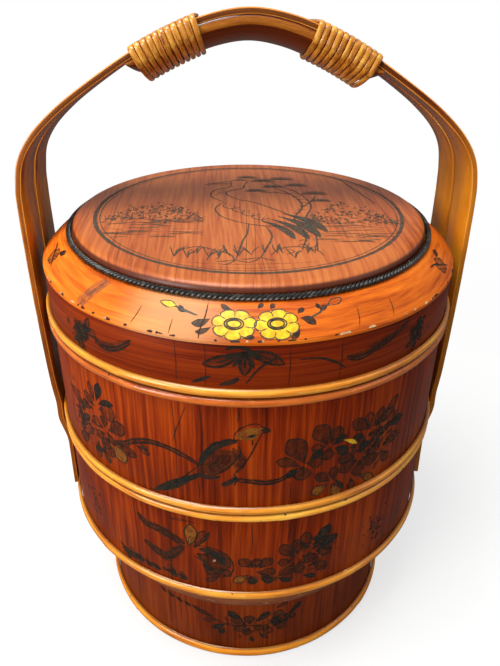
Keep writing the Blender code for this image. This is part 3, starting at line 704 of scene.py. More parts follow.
@dataclass
class Hoops:
    """Split bamboo hoops round the walls."""

    swell: float = 0.00035
    lap: float = 0.00045
    ripple: float = 0.00012

    def plans(self) -> tuple[HoopPlan, ...]:
        """Return the seven hoops."""
        seat, outer = 0.1567, 0.160
        gold = (0.75, 0.255, 0.018)
        orange = (0.88, 0.270, 0.010)
        red = (0.88, 0.320, 0.026)
        return (
            HoopPlan("lid_bottom_hoop", "lid", seat, outer, 0.2973, 0.0062, gold, -0.62, (-0.60, 0.35, 1.5, 2.5)),
            HoopPlan("middle_tier_top_hoop", "middle_tier", seat, outer, 0.2902, 0.0062, (0.60, 0.130, 0.012), -0.56, (0.75, 2.0, -1.6)),
            HoopPlan("middle_tier_bottom_hoop", "middle_tier", seat, outer, 0.1989, 0.0062, gold, -0.30, (-0.72, 0.9, 2.4)),
            HoopPlan("lower_tier_top_hoop", "base", seat, outer, 0.1918, 0.0062, red, 0.12, (-0.2, 1.2, -1.9)),
            HoopPlan("lower_tier_bottom_hoop", "base", seat, outer, 0.1093, 0.0075, gold, -0.85, (0.5, 1.9, -2.2)),
            # The foot collar hoop's dark tone is painted shade under the lower tier's overhang.
            HoopPlan("foot_collar_hoop", "base", 0.1325, 0.1378, 0.0700, 0.0120, (0.22, 0.050, 0.010), 1.0, (-0.5, 2.0)),
            HoopPlan("foot_bottom_hoop", "base", 0.1325, 0.1362, 0.0005, 0.0090, orange, 0.9, (-0.9, 0.3, 2.6)),
        )

    def profile(self, plan: HoopPlan) -> list[Pair]:
        """Return the section of a hoop: flat against the wall and round outside."""
        top, middle = plan.bottom + plan.height, plan.bottom + plan.height / 2
        depth = plan.outer - plan.inner
        points = [(plan.inner, top - 0.0003), (plan.inner + depth * 0.2, top)]
        for step in range(9):
            angle = math.radians(64.0 - 16.0 * step)
            points.append((plan.inner + depth * math.cos(angle) ** 0.8, middle + plan.height / 2 * math.sin(angle)))
        points.append((plan.inner + depth * 0.2, plan.bottom))
        points.append((plan.inner, plan.bottom + 0.0003))
        return points

    def wear_in(self, item: bpy.types.Object, plan: HoopPlan) -> None:
        """Swell the knots, lap the scarf joint and take off the machine roundness."""
        middle = plan.bottom + plan.height / 2
        for vertex in item.data.vertices:
            spot = vertex.co
            reach = math.hypot(spot.x, spot.y)
            out = (reach - plan.inner) / (plan.outer - plan.inner)
            if out < 0.3:
                continue
            angle = math.atan2(spot.x, -spot.y)
            arc = angle * plan.outer
            move = self.ripple * (math.sin(arc * 57.0 + plan.bottom * 900.0) + math.sin(arc * 131.0) * 0.6) - self.ripple * 1.7
            for knot in plan.knots:
                near = (angle - knot) * plan.outer
                move += self.swell * math.exp(-((near / 0.0016) ** 2)) - self.swell * 0.7 * math.exp(-(((near - 0.003) / 0.0014) ** 2))
            lap = (angle - plan.scarf) * plan.outer - (spot.z - middle) * 2.4
            if 0.0 < lap < 0.040:
                move += self.lap * (1.0 - lap / 0.040)
            scale = (reach + move * out) / reach
            spot.x *= scale
            spot.y *= scale

    def build(self) -> None:
        """Model and dress the hoops."""
        for plan in self.plans():
            item = turned(f"{plan.node}_round", self.profile(plan), HOOP_STEPS)
            self.wear_in(item, plan)
            dark = tuple(part * share for part, share in zip(plan.tone, (0.48, 0.34, 0.30)))
            light = tuple(min(1.0, part * share) for part, share in zip(plan.tone, (1.25, 1.75, 2.6)))
            finish = HoopLacquer(
                f"{plan.node}_lacquer", dark, plan.tone, light, plan.bottom + plan.height / 2, plan.height
            )
            dress(item, plan.body, "hoop", [finish.make()], [plan.node])


@dataclass
class LidTop:
    """Sloping shoulder, raised panel and the twisted cord between them."""

    edge_radius: float = 0.1569
    edge_bottom: float = 0.3338
    edge_top: float = 0.3366
    slope_top_radius: float = 0.1382
    slope_top: float = 0.3521
    crown: float = 0.0010
    ledge_radius: float = 0.1185
    board: float = 0.0040
    panel_radius: float = 0.1335
    panel_bottom: float = 0.3524
    panel_top: float = 0.3612
    rim: float = 0.0055
    undercut: float = 0.0022
    cord_radius: float = 0.0022

    def slope(self, share: float) -> Pair:
        """Return the radius and height of the slope at a share of the way up."""
        radius = self.edge_radius - 0.0004 + (self.slope_top_radius - self.edge_radius + 0.0004) * share
        height = self.edge_top - 0.0002 + (self.slope_top - self.edge_top + 0.0002) * share
        lift = self.crown * 4.0 * share * (1.0 - share)
        return radius + lift * 0.65, height + lift * 0.76

    def shoulder(self) -> bpy.types.Object:
        """Model the shoulder ring."""
        profile = [(self.ledge_radius, self.slope_top), (self.slope_top_radius, self.slope_top)]
        profile += [self.slope(share) for share in (0.9, 0.75, 0.6, 0.45, 0.3, 0.15, 0.05)]
        profile += [
            (self.edge_radius - 0.0002, self.edge_top - 0.0004),
            (self.edge_radius, self.edge_top - 0.0010),
            (self.edge_radius, self.edge_bottom + 0.0003),
            (self.edge_radius - 0.0003, self.edge_bottom),
            (self.edge_radius - 0.0048, self.edge_bottom),
            (self.slope_top_radius - self.board / 2, self.slope_top - self.board),
            (self.ledge_radius, self.slope_top - self.board),
        ]
        return turned("lid_shoulder_round", profile)

    def panel(self) -> bpy.types.Object:
        """Model the raised panel with its rolled rim and undercut side."""
        inner, centre = self.panel_radius - self.rim, self.panel_top - self.rim
        profile = [(inner * share, self.panel_top) for share in (0.25, 0.5, 0.75, 0.93)]
        for step in range(9):
            angle = math.radians(90.0 - 11.25 * step)
            profile.append((inner + self.rim * math.cos(angle), centre + self.rim * math.sin(angle)))
        profile += [
            (self.panel_radius - self.undercut * 0.4, centre - 0.0016),
            (self.panel_radius - self.undercut, self.panel_bottom),
            (inner, self.panel_bottom),
        ]
        return turned("lid_panel_round", profile, solid=True)

    def cord(self) -> bpy.types.Object:
        """Model the cord: three strands laid round each other along the ring."""
        ring, height = 0.1360, self.slope_top + 0.0003 + self.cord_radius
        turns, strand_radius, lay_radius = 84, 0.00120, 0.00098
        strands = []
        for strand in range(3):
            def place(across: float, along: float, start: float = math.tau * strand / 3) -> Vector:
                """Return a point on the strand's skin."""
                angle = math.tau * along
                lay = start + angle * turns
                radius = ring + lay_radius * math.cos(lay) + strand_radius * math.cos(math.tau * across)
                level = height + lay_radius * math.sin(lay) + strand_radius * math.sin(math.tau * across)
                return Vector((radius * math.sin(angle), -radius * math.cos(angle), level))

            strands.append(bent_grid(f"strand_{strand}", 7, turns * 12, place, capped=False))
        return joined("lid_cord_twisted", strands)

    def build(self) -> None:
        """Model and dress the lid's top."""
        # The shoulder takes a painted highlight, a paler patch at its front left.
        shoulder = Lacquer(
            "shoulder_lacquer", Grain.AROUND, (0.34, 0.050, 0.003), (0.60, 0.120, 0.005), (0.80, 0.23, 0.018),
            streak=420.0, along=22.0, line_strength=0.40, roughness=0.48, shine=0.18, coat=0.0, contrast=1.3, painted_highlight_at=-0.36,
        )
        panel = Lacquer(
            "panel_lacquer", Grain.FRONT_TO_BACK, (0.17, 0.026, 0.008), (0.34, 0.074, 0.016), (0.50, 0.150, 0.036),
            streak=330.0, along=16.0, line_strength=0.50, roughness=0.40, shine=0.30, coat=0.10,
            contrast=1.35, shade_below=self.panel_top - 0.0012,
        )
        dress(self.shoulder(), "lid", "lid_shoulder", [shoulder.make()], ["lid_shoulder"])
        dress(self.panel(), "lid", "lid_panel", [panel.make()], ["lid_panel"])
        dress(self.cord(), "lid", "cord", [Cord("cord_wax").make()], ["lid_cord"])


# Handle
@dataclass
class Handle:
    """Two bent strips, the grip under their crown, the rattan bindings and the pegs."""

    pivot: float = 0.1418
    lean: float = math.radians(3.9)
    half_width: float = 0.16823
    bend_rise: float = 0.2285
    arch_rise: float = 0.1294
    leg_width: float = 0.036
    crown_width: float = 0.030
    gap: float = 0.005
    thickness: float = 0.0044
    end_thickness: float = 0.0034
    wall_radius: float = 0.1564
    hoop_radius: float = 0.160
    seat_clear: float = 0.0004
    grip_width: float = 0.066
    grip_edge: float = 0.0050
    grip_crown: float = 0.0110
    grip_reach: float = 0.0905
    grip_corner: float = 0.0040
    grip_shift: float = 0.0045
    pitch: float = 0.0045
    loops: int = 11
    binding_start: float = 0.0410
    arch_shares: tuple[Pair, ...] = (
        (1.000, 0.000), (0.996, 0.109), (0.975, 0.248), (0.916, 0.375), (0.821, 0.495),
        (0.702, 0.610), (0.511, 0.769), (0.345, 0.881), (0.172, 0.966), (0.000, 1.000),
    )
    leg_shares: tuple[Pair, ...] = ((0.14, 0.50), (0.46, 0.68), (0.70, 0.86), (0.88, 1.00))

    def __post_init__(self) -> None:
        """Work out the outline and what follows from it."""
        self.leg_offset = (self.leg_width + self.gap) / 2
        self.crown_offset = (self.crown_width + self.gap) / 2
        self.leg_twist = math.asin(self.leg_offset / self.wall_radius)
        self.place = Matrix.Translation((0.0, 0.0, self.pivot)) @ Matrix.Rotation(-self.lean, 4, "X")
        self.seat_x = self.leg_x(self.wall_radius + 0.0005 + self.end_thickness)
        self.hoop_x = self.leg_x(self.hoop_radius + 0.0014 + self.thickness)
        self.straight_rise = 0.013 + 2 * 0.0042
        self.hoop_rise = 0.1983 - 0.0062 - self.pivot
        self.outline = self.make_outline()
        steps = [0.0]
        for start, end in zip(self.outline, self.outline[1:]):
            steps.append(steps[-1] + (end - start).length)
        centre = steps[len(steps) // 2]
        self.lengths = [step - centre for step in steps]
        self.normals = []
        for index in range(len(self.outline)):
            ahead = self.outline[min(index + 1, len(self.outline) - 1)]
            along = (ahead - self.outline[max(index - 1, 0)]).normalized()
            self.normals.append(Vector((along.y, -along.x)))

    def leg_x(self, distance: float) -> float:
        """Return the X of a strip's middle when its twisted face lies at a distance from the axis."""
        return (distance - self.leg_offset * math.sin(self.leg_twist)) / math.cos(self.leg_twist)

    def make_outline(self) -> list[Vector]:
        """Return the outer face in the handle's plane, from the left leg over the crown to the right."""
        leg = [Vector((self.seat_x, 0.1090 + 0.0078 + 0.0030 - self.pivot))]
        for index in range(8):
            share = index / 8
            rise = self.straight_rise + (self.hoop_rise - self.straight_rise) * share
            leg.append(Vector((self.seat_x + (self.hoop_x - self.seat_x) * ease(share, 0.0, 1.0), rise)))
        hoops_top = self.hoop_rise + 2 * 0.0062
        arch = [Vector((self.hoop_x, self.hoop_rise)), Vector((self.hoop_x, hoops_top))]
        for height_share, flare_share in self.leg_shares:
            x = self.hoop_x + (self.half_width - self.hoop_x) * flare_share
            arch.append(Vector((x, hoops_top + (self.bend_rise - hoops_top) * height_share)))
        for width_share, arch_share in self.arch_shares:
            arch.append(Vector((self.half_width * width_share, self.bend_rise + self.arch_rise * arch_share)))
        arch_left = [Vector((-point.x, point.y)) for point in arch]
        leg_left = [Vector((-point.x, point.y)) for point in leg]
        return leg_left + smooth_curve(arch_left + arch[-2::-1], 8) + leg[::-1]

    def at(self, values: Sequence[Vector], distance: float) -> Vector:
        """Return the value of a list of vectors at a length along the outline."""
        return Vector(
            (
                float(np.interp(distance, self.lengths, [value.x for value in values])),
                float(np.interp(distance, self.lengths, [value.y for value in values])),
            )
        )

    def length_at(self, x: float) -> float:
        """Return the length along the outline at which its right half of the arch reaches x."""
        middle = len(self.outline) // 2
        reach = [point.x for point in self.outline[middle:]]
        widest = reach.index(max(reach)) + 1
        return float(np.interp(x, reach[:widest], self.lengths[middle : middle + widest]))

    def narrowing(self, rise: float) -> float:
        """Return how far a strip has narrowed from its leg, 0, to its crown, 1."""
        return ease(rise, self.bend_rise, self.bend_rise + self.arch_rise * 0.76)

    def offset(self, rise: float) -> float:
        """Return the distance of a strip's middle from the handle's plane."""
        return self.leg_offset + (self.crown_offset - self.leg_offset) * self.narrowing(rise)

    def twist(self, rise: float) -> float:
        """Return the turn of a strip's face toward the round wall."""
        start = self.hoop_rise + 2 * 0.0062
        return self.leg_twist * (1 - ease(rise, start, start + 0.100))

    def section(self, rise: float, depth: float) -> list[Pair]:
        """Return a strip's section, with rounded corners, as (across, depth) points."""
        width = self.leg_width + (self.crown_width - self.leg_width) * self.narrowing(rise)
        half, soft = width / 2, 0.0008
        points = []
        for x, y, start in ((half, 0.0, 90.0), (half, depth, 0.0), (-half, depth, -90.0), (-half, 0.0, -180.0)):
            for step in range(3):
                angle = math.radians(start - 45.0 * step)
                centre = (x - math.copysign(soft, x), soft if y == 0.0 else depth - soft)
                points.append((centre[0] + soft * math.cos(angle), centre[1] - soft * math.sin(angle)))
        return points

    def strip(self, name: str, side: int) -> bpy.types.Object:
        """Model one bent strip."""
        rows = 360
        first, last = self.lengths[0], self.lengths[-1]

        def place(across: float, along: float) -> Vector:
            """Return a point on the strip's skin."""
            distance = first + (last - first) * along
            point, normal = self.at(self.outline, distance), self.at(self.normals, distance).normalized()
            thickness = self.end_thickness + (self.thickness - self.end_thickness) * ease(
                point.y, self.straight_rise, self.hoop_rise
            )
            section = self.section(point.y, thickness)
            wide, deep = section[round(across * len(section)) % len(section)]
            twist = self.twist(point.y)
            flat = Vector((normal.x, 0.0, normal.y))
            inward = flat * math.cos(twist) - Vector((0.0, side * math.sin(twist), 0.0))
            crossing = flat * side * math.sin(twist) + Vector((0.0, math.cos(twist), 0.0))
            middle = Vector((point.x, side * self.offset(point.y), point.y))
            worn = 0.00012 * math.sin(distance * 90.0 + side) + 0.00008 * math.sin(distance * 233.0)
            return self.place @ (middle + crossing * (wide + worn) + inward * deep)

        def lengths(across: float, along: float) -> Pair:
            """Return the UV of a point: along the strip, and round its section."""
            return (last - first) * along + side * 0.4, across * 2 * (self.leg_width + self.thickness)

        item = bent_grid(name, 12, rows, place, lengths=lengths)
        self.mark_edges(item)
        return item

    def mark_edges(self, item: bpy.types.Object) -> None:
        """Give a strip's rounded corners the second finish, lighter for rubbed wear and a painted highlight, and its
        narrow cut faces the third.
        """
        turned_back = self.place.inverted().to_3x3()
        for polygon in item.data.polygons:
            facing = abs((turned_back @ polygon.normal).y)
            polygon.material_index = 2 if facing > 0.93 else 1 if facing > 0.30 else 0

    def grip_belly(self) -> tuple[float, float, float, float]:
        """Return the radius of the grip's underside, its centre's depth, and the turn and depth of its corners' centres."""
        half = self.grip_width / 2
        radius = (half**2 + self.grip_crown**2) / (2 * self.grip_crown)
        centre = self.grip_edge + self.grip_crown - radius
        turn = math.asin((half - self.grip_corner) / (radius - self.grip_corner))
        return radius, centre, turn, centre + (radius - self.grip_corner) * math.cos(turn)

    def grip_section(self) -> list[Pair]:
        """Return the half round section of the grip as (across, depth) points, depth down from the strips."""
        half, corner = self.grip_width / 2, self.grip_corner
        radius, centre, turn, corner_depth = self.grip_belly()
        left = [(-half + 0.0006, 0.0), (-half, 0.0006), (-half, corner_depth * 0.5)]
        for step in range(5):
            angle = (math.pi / 2 - turn) * step / 4
            left.append((-half + corner - corner * math.cos(angle), corner_depth + corner * math.sin(angle)))
        belly = []
        for index in range(1, 20):
            angle = turn * (2 * index / 20 - 1)
            belly.append((radius * math.sin(angle), centre + radius * math.cos(angle)))
        return left + belly + [(-across, depth) for across, depth in reversed(left)]

    def grip(self) -> bpy.types.Object:
        """Model the split bamboo grip."""
        section = self.grip_section()
        reach = self.length_at(self.grip_reach)

        def place(across: float, along: float) -> Vector:
            """Return a point on the grip's skin."""
            distance = reach * math.sin(math.pi / 2 * (2 * along - 1))
            run_out = max(0.0, abs(distance) - (reach - 0.020)) / 0.020
            taper = 0.20 + 0.80 * math.sqrt(max(0.0, 1 - min(run_out, 1.0) ** 2))
            wide, deep = section[round(across * len(section)) % len(section)]
            start = self.at(self.outline, distance + self.grip_shift)
            normal = self.at(self.normals, distance + self.grip_shift).normalized()
            spot = start + normal * (self.thickness + self.seat_clear + deep * taper)
            return self.place @ Vector((spot.x, wide, spot.y))

        def lengths(across: float, along: float) -> Pair:
            """Return the UV of a point: along the grip, and round its section."""
            return reach * math.sin(math.pi / 2 * (2 * along - 1)), across * 0.14

        item = bent_grid("handle_grip_split_culm", len(section), 96, place, lengths=lengths)
        turned_back = self.place.inverted().to_3x3()
        for polygon in item.data.polygons:
            if abs((turned_back @ polygon.normal).y) > 0.80:
                polygon.material_index = 1
        return item

    def loop(self, reach: float) -> list[Pair]:
        """Return one turn of cane round the strips and the grip, as (across, rise) points."""
        half, corner = self.grip_width / 2, self.grip_corner
        radius, centre, turn, corner_depth = self.grip_belly()
        seat = -(self.thickness + self.seat_clear)
        points: list[Pair] = []

        def arc(x: float, y: float, start: float, end: float, size: float, count: int) -> None:
            """Add the points of an arc."""
            for index in range(count):
                angle = start + (end - start) * index / (count - 1)
                points.append((x + size * math.cos(angle), y + size * math.sin(angle)))

        quarter = math.pi / 2
        soft = 0.0014
        for index in range(1, 8):
            points.append(((half - soft) * (1 - index / 4), reach + 0.00035 * math.sin(math.pi * index / 8)))
        arc(-half + soft, -soft, quarter, 2 * quarter, reach + soft, 5)
        arc(-half + corner, seat - corner_depth, 2 * quarter, 3 * quarter - turn, reach + corner, 5)
        arc(0.0, seat - centre, 3 * quarter - turn + 0.06, 3 * quarter + turn - 0.06, radius + reach, 15)
        arc(half - corner, seat - corner_depth, 3 * quarter + turn, 4 * quarter, reach + corner, 5)
        arc(half - soft, -soft, 0.0, quarter, reach + soft, 5)
        return points

    def binding(self, name: str, side: int) -> bpy.types.Object:
        """Model one binding: an unbroken flat cane whose turns lie close together."""
        thick, sides = 0.0028, 10
        loop = self.loop(thick / 2 + 0.00025)
        spots = [Vector((x, y)) for x, y in loop]
        turns = [0.0]
        for start, end in zip(spots, spots[1:] + spots[:1]):
            turns.append(turns[-1] + (end - start).length)
        first = self.length_at(self.binding_start)
        count = len(loop)
        chance = random.Random(17 + side)
        wobble = [chance.uniform(-0.00012, 0.00012) for _ in range(self.loops * 6 + 2)]

        def frame_at(index: int) -> tuple[Vector, Vector, Vector, float]:
            """Return the cane's centre, outward direction, width direction and width at a step."""
            turn, step = divmod(index, count)
            share = turn + turns[step] / turns[-1]
            distance = side * (first + self.pitch * share) + self.grip_shift
            wave = share * 6
            distance += wobble[int(wave)] * (1 - wave % 1) + wobble[int(wave) + 1] * (wave % 1)
            spot, normal = self.at(self.outline, distance), self.at(self.normals, distance).normalized()
            across, rise = loop[step]
            before, after = spots[step - 1], spots[(step + 1) % count]
            along = (after - before).normalized()
            out = Vector((along.y, -along.x))
            centre = spot - normal * rise
            outward = Vector((-normal.x * out.y, out.x, -normal.y * out.y))
            widthways = Vector((normal.y, 0.0, -normal.x))
            wide = self.pitch * (1.0 + rise / 0.150) - 0.00012
            return Vector((centre.x, across, centre.y)), outward, widthways, wide

        total = self.loops * count
        frames = [frame_at(index) for index in range(total + 1)]

        def place(across: float, along: float) -> Vector:
            """Return a point on the cane's skin."""
            centre, outward, widthways, wide = frames[round(along * total)]
            angle = math.tau * across
            return self.place @ (
                centre + widthways * (math.cos(angle) * wide / 2) + outward * (math.sin(angle) * thick / 2)
            )

        def lengths(across: float, along: float) -> Pair:
            """Return the UV of a point: along the cane, and round it."""
            return along * turns[-1] * self.loops + side, across * 0.0117

        return bent_grid(name, sides, total, place, lengths=lengths)

    def peg(self, name: str, leg: int, side: int, rise: float) -> bpy.types.Object:
        """Model a bamboo peg: a shank and a low round head."""
        bpy.ops.object.select_all(action="DESELECT")
        bpy.ops.mesh.primitive_cylinder_add(vertices=24, radius=0.0024, depth=0.0107, location=(0.0, 0.0, 0.0))
        item = bpy.context.object
        item.name = name
        open_edit(item)
        bpy.ops.mesh.select_all(action="SELECT")
        bpy.ops.transform.translate(value=(0.0, 0.0, -0.0107 / 2 + 0.0003))
        bpy.ops.mesh.select_mode(type="FACE")
        bpy.ops.mesh.select_all(action="DESELECT")
        bpy.ops.object.mode_set(mode="OBJECT")
        for polygon in item.data.polygons:
            polygon.select = polygon.normal.z > 0.9
        bpy.ops.object.mode_set(mode="EDIT")
        for share, step in ((1.70, 0.0), (1.0, 0.0006), (0.90, 0.0005), (0.66, 0.0003)):
            bpy.ops.mesh.extrude_region_move(TRANSFORM_OT_translate={"value": (0.0, 0.0, step)})
            bpy.ops.transform.resize(value=(share, share, 1.0))
        bpy.ops.mesh.select_all(action="SELECT")
        bpy.ops.mesh.normals_make_consistent(inside=False)
        bpy.ops.mesh.select_mode(type="VERT")
        close_edit(item)
        facing = side * self.leg_twist if leg > 0 else math.pi - side * self.leg_twist
        matrix = self.place @ Matrix.Translation((leg * self.seat_x, side * self.leg_offset, rise))
        matrix = matrix @ Matrix.Rotation(facing, 4, "Z") @ Matrix.Rotation(math.pi / 2, 4, "Y")
        item.data.transform(matrix)
        return item

    def build(self) -> None:
        """Model and dress the handle."""
        # Face and cut finishes take painted light: golden on the strips' right side.
        face = Lacquer(
            "strip_face_lacquer", Grain.ALONG_UV, (0.12, 0.020, 0.003), (0.42, 0.115, 0.006), (0.70, 0.26, 0.012),
            streak=520.0, along=8.0, roughness=0.32, shine=0.28, coat=0.06, patch=13.0, panel_width=0.2, contrast=1.3,
            lit_right_dark_crown=True,
        ).make()
        # Corners: lighter, partly rubbed wear and partly a painted highlight where the arris catches the light.
        corner = Lacquer(
            "strip_corner_lacquer", Grain.ALONG_UV, (0.30, 0.060, 0.006), (0.62, 0.20, 0.020), (0.82, 0.36, 0.060),
            streak=300.0, along=30.0, roughness=0.36, patch=40.0, panel_width=0.2, contrast=1.5,
        ).make()
        cut = Lacquer(
            "strip_cut_lacquer", Grain.ALONG_UV, (0.060, 0.010, 0.002), (0.20, 0.042, 0.004), (0.46, 0.14, 0.010),
            streak=900.0, along=12.0, roughness=0.38, shine=0.20, coat=0.0, patch=12.0, panel_width=0.2, contrast=1.4,
            lit_right_dark_crown=True,
        ).make()
        for name, side in (("handle_strip_front", -1), ("handle_strip_rear", 1)):
            dress(self.strip(f"{name}_bent", side), "base", "handle_strip", [face, corner, cut], [name])
        skin = Lacquer(
            "grip_skin_lacquer", Grain.ALONG_UV, (0.028, 0.004, 0.001), (0.095, 0.013, 0.001), (0.21, 0.040, 0.003),
            streak=420.0, along=7.0, roughness=0.32, shine=0.3, coat=0.10, patch=14.0, panel_width=0.2,
        ).make()
        cut = Lacquer(
            "grip_cut_edge", Grain.ALONG_UV, (0.10, 0.020, 0.002), (0.32, 0.085, 0.005), (0.58, 0.22, 0.016),
            streak=1500.0, along=110.0, roughness=0.42, shine=0.3, coat=0.0, patch=30.0, panel_width=0.2,
            line_strength=0.8, contrast=1.3,
        ).make()
        dress(self.grip(), "base", "handle_grip", [skin, cut], ["handle_grip"])
        cane = Cane("rattan_cane").make()
        for name, side in (("handle_binding_left", -1), ("handle_binding_right", 1)):
            dress(self.binding(f"{name}_cane", side), "base", "rattan", [cane], [name])
        wood = PlainBoard("peg_wood").make()
        for leg_name, leg in (("left", -1), ("right", 1)):
            for strip_name, side in (("front", -1), ("rear", 1)):
                for level, rise in (("lower", -0.013), ("upper", 0.013)):
                    node = f"peg_{leg_name}_{strip_name}_{level}"
                    dress(self.peg(f"{node}_turned", leg, side, rise), "base", "peg", [wood], [node])


# Painted ornament
@dataclass
class Ribbon:
    """One brush stroke: its middle line, half widths, paint and layer, in millimetres on a flat sheet."""

    points: list[Vector]
    widths: list[float]
    ink: Ink
    layer: int


class Brush:
    """Collects the strokes of one painting on a flat sheet, in millimetres."""

    def __init__(self, seed: int, weight: float = 1.6) -> None:
        """Start an empty sheet with its own run of chance and a weight for every stroke."""
        self.ribbons: list[Ribbon] = []
        self.weight = weight
        self.chance = random.Random(seed)

    def stroke(
        self, points: Sequence[Pair], width: float, ink: Ink = Ink.LINE, taper: float = 0.35, layer: int = 3, samples: int = 5
    ) -> None:
        """Paint a smooth stroke.

        Args:
            points: Points that it passes through.
            width: Width at its fullest.
            ink: Its paint.
            taper: Share of the width that is left at its ends.
            layer: Higher layers lie over lower ones.
            samples: Samples between points.
        """
        curve = smooth_curve([Vector(point) for point in points], samples)
        last = len(curve) - 1
        widths = []
        for index in range(last + 1):
            swell = math.sin(math.pi * index / last) ** 0.6 if last else 1.0
            pressure = 1.0 + 0.18 * self.chance.uniform(-1.0, 1.0)
            widths.append(self.weight * width / 2 * (taper + (1 - taper) * swell) * pressure)
        self.ribbons.append(Ribbon(curve, widths, ink, layer))

    def blade(
        self, start: Pair, end: Pair, width: float, ink: Ink, bend: float = 0.0, layer: int = 1, tip: float = 0.6
    ) -> tuple[list[Pair], list[Pair]]:
        """Fill a leaf or petal shape between two points.

        Args:
            start: Its base.
            end: Its tip.
            width: Its width at the fullest.
            ink: Its paint.
            bend: Sideways bow as a share of its length.
            layer: Its layer.
            tip: Where it is fullest, as a share of its length.

        Returns:
            The points of its two sides.
        """
        first, last = Vector(start), Vector(end)
        side = Vector((first.y - last.y, last.x - first.x))
        points, widths = [], []
        count = 12
        for index in range(count + 1):
            share = index / count
            points.append(first.lerp(last, share) + side * (bend * math.sin(math.pi * share)))
            warped = share ** (math.log(0.5) / math.log(tip))
            widths.append(width / 2 * max(0.02, math.sin(math.pi * warped)) ** 0.8)
        self.ribbons.append(Ribbon(points, widths, ink, layer))
        left, right = [], []
        for index, (point, half) in enumerate(zip(points, widths)):
            along = (points[min(index + 1, count)] - points[max(index - 1, 0)]).normalized()
            across = Vector((-along.y, along.x)) * half
            left.append(tuple(point + across))
            right.append(tuple(point - across))
        return left, right

    def leaf(
        self, start: Pair, end: Pair, width: float, fill: Ink | None = Ink.WASH, line: Ink = Ink.LINE, bend: float = 0.08, pen: float = 0.6
    ) -> None:
        """Paint an outlined leaf with a middle vein."""
        left, right = self.blade(start, end, width, fill or Ink.SHADE, bend)
        if fill is None:
            self.ribbons.pop()
        self.stroke(left, pen, line, 0.4, samples=2)
        self.stroke(right, pen, line, 0.4, samples=2)
        middle = [((a[0] + b[0]) / 2, (a[1] + b[1]) / 2) for a, b in zip(left[1:9], right[1:9])]
        self.stroke(middle, pen * 0.8, line, 0.2, samples=2)

    def petals(self, rows: Sequence[tuple[Pair, Pair, float, Ink]], pen: float = 0.55) -> None:
        """Paint loose outlined petals, each a row of its base, tip, width and paint."""
        for start, end, width, fill in rows:
            left, right = self.blade(start, end, width, fill, self.chance.uniform(-0.08, 0.08), 1, 0.64)
            self.stroke(left + right[::-1], pen, Ink.LINE, 0.6, samples=1)
            for number in (-1, 1):
                inner = [
                    (a[0] * (0.5 + 0.2 * number) + b[0] * (0.5 - 0.2 * number), a[1] * (0.5 + 0.2 * number) + b[1] * (0.5 - 0.2 * number))
                    for a, b in zip(left[1:7:2], right[1:7:2])
                ]
                self.stroke(inner, pen * 0.7, Ink.LINE, 0.2, samples=2)

    def petal_ring(
        self, centre: Pair, size: Pair, petals: int, fill: Ink, line: Ink, turn: float = 0.0, pen: float = 0.6, lobes: float = 0.16
    ) -> None:
        """Paint a blossom whose petals are scallops of one outline."""
        outline = []
        for index in range(petals * 10):
            angle = turn + math.tau * index / (petals * 10)
            scallop = 1.0 - lobes + lobes * abs(math.cos((angle - turn) * petals / 2)) ** 0.5
            outline.append((centre[0] + size[0] * scallop * math.cos(angle), centre[1] + size[1] * scallop * math.sin(angle)))
        self.fan(centre, outline, fill, 1)
        self.stroke(outline + outline[:1], pen, line, 0.8, samples=1)
        for index in range(petals):
            angle = turn + math.pi / petals + math.tau * index / petals
            inner, outer = 0.50, 1.0 - lobes
            self.stroke(
                [
                    (centre[0] + size[0] * reach * math.cos(angle), centre[1] + size[1] * reach * math.sin(angle))
                    for reach in (inner, (inner + outer) / 2, outer)
                ],
                pen * 0.8, line, 0.3, samples=2,
            )

    def fan(self, centre: Pair, outline: Sequence[Pair], ink: Ink, layer: int) -> None:
        """Fill a star-shaped outline round a centre with narrow wedges."""
        middle = Vector(centre)
        points = [Vector(point) for point in outline]
        step = 4
        for index in range(0, len(points), step):
            ahead = points[(index + step) % len(points)]
            self.ribbons.append(Ribbon([middle, points[index], points[(index + step // 2) % len(points)], ahead], [], ink, layer))

    def peony(self, centre: Pair, radius: float, fill: Ink = Ink.WASH, line: Ink = Ink.LINE, dark: Ink | None = Ink.SOLID) -> None:
        """Paint a full blossom: rings of loose petals round a dark heart."""
        chance = self.chance
        for ring, (count, reach, wide) in enumerate(((7, 1.0, 0.62), (5, 0.66, 0.46))):
            start = chance.uniform(0.0, math.tau)
            for index in range(count):
                angle = start + math.tau * index / count + chance.uniform(-0.14, 0.14)
                length = radius * reach * chance.uniform(0.85, 1.08)
                near = (centre[0] + radius * 0.12 * math.cos(angle), centre[1] + radius * 0.12 * math.sin(angle))
                far = (centre[0] + length * math.cos(angle), centre[1] + length * math.sin(angle))
                left, right = self.blade(near, far, radius * wide * chance.uniform(0.85, 1.15), fill, 0.06, 1, 0.70)
                self.stroke(left[2:] + right[:1:-1], 0.55, line, 0.5, samples=2)
        if dark:
            for _ in range(7):
                angle, length = chance.uniform(0.0, math.tau), radius * chance.uniform(0.18, 0.52)
                spot = (centre[0] + length * math.cos(angle), centre[1] + length * math.sin(angle))
                tip = (spot[0] + radius * 0.22 * math.cos(angle + 0.6), spot[1] + radius * 0.22 * math.sin(angle + 0.6))
                self.blade(spot, tip, radius * chance.uniform(0.16, 0.30), dark, 0.1, 2)

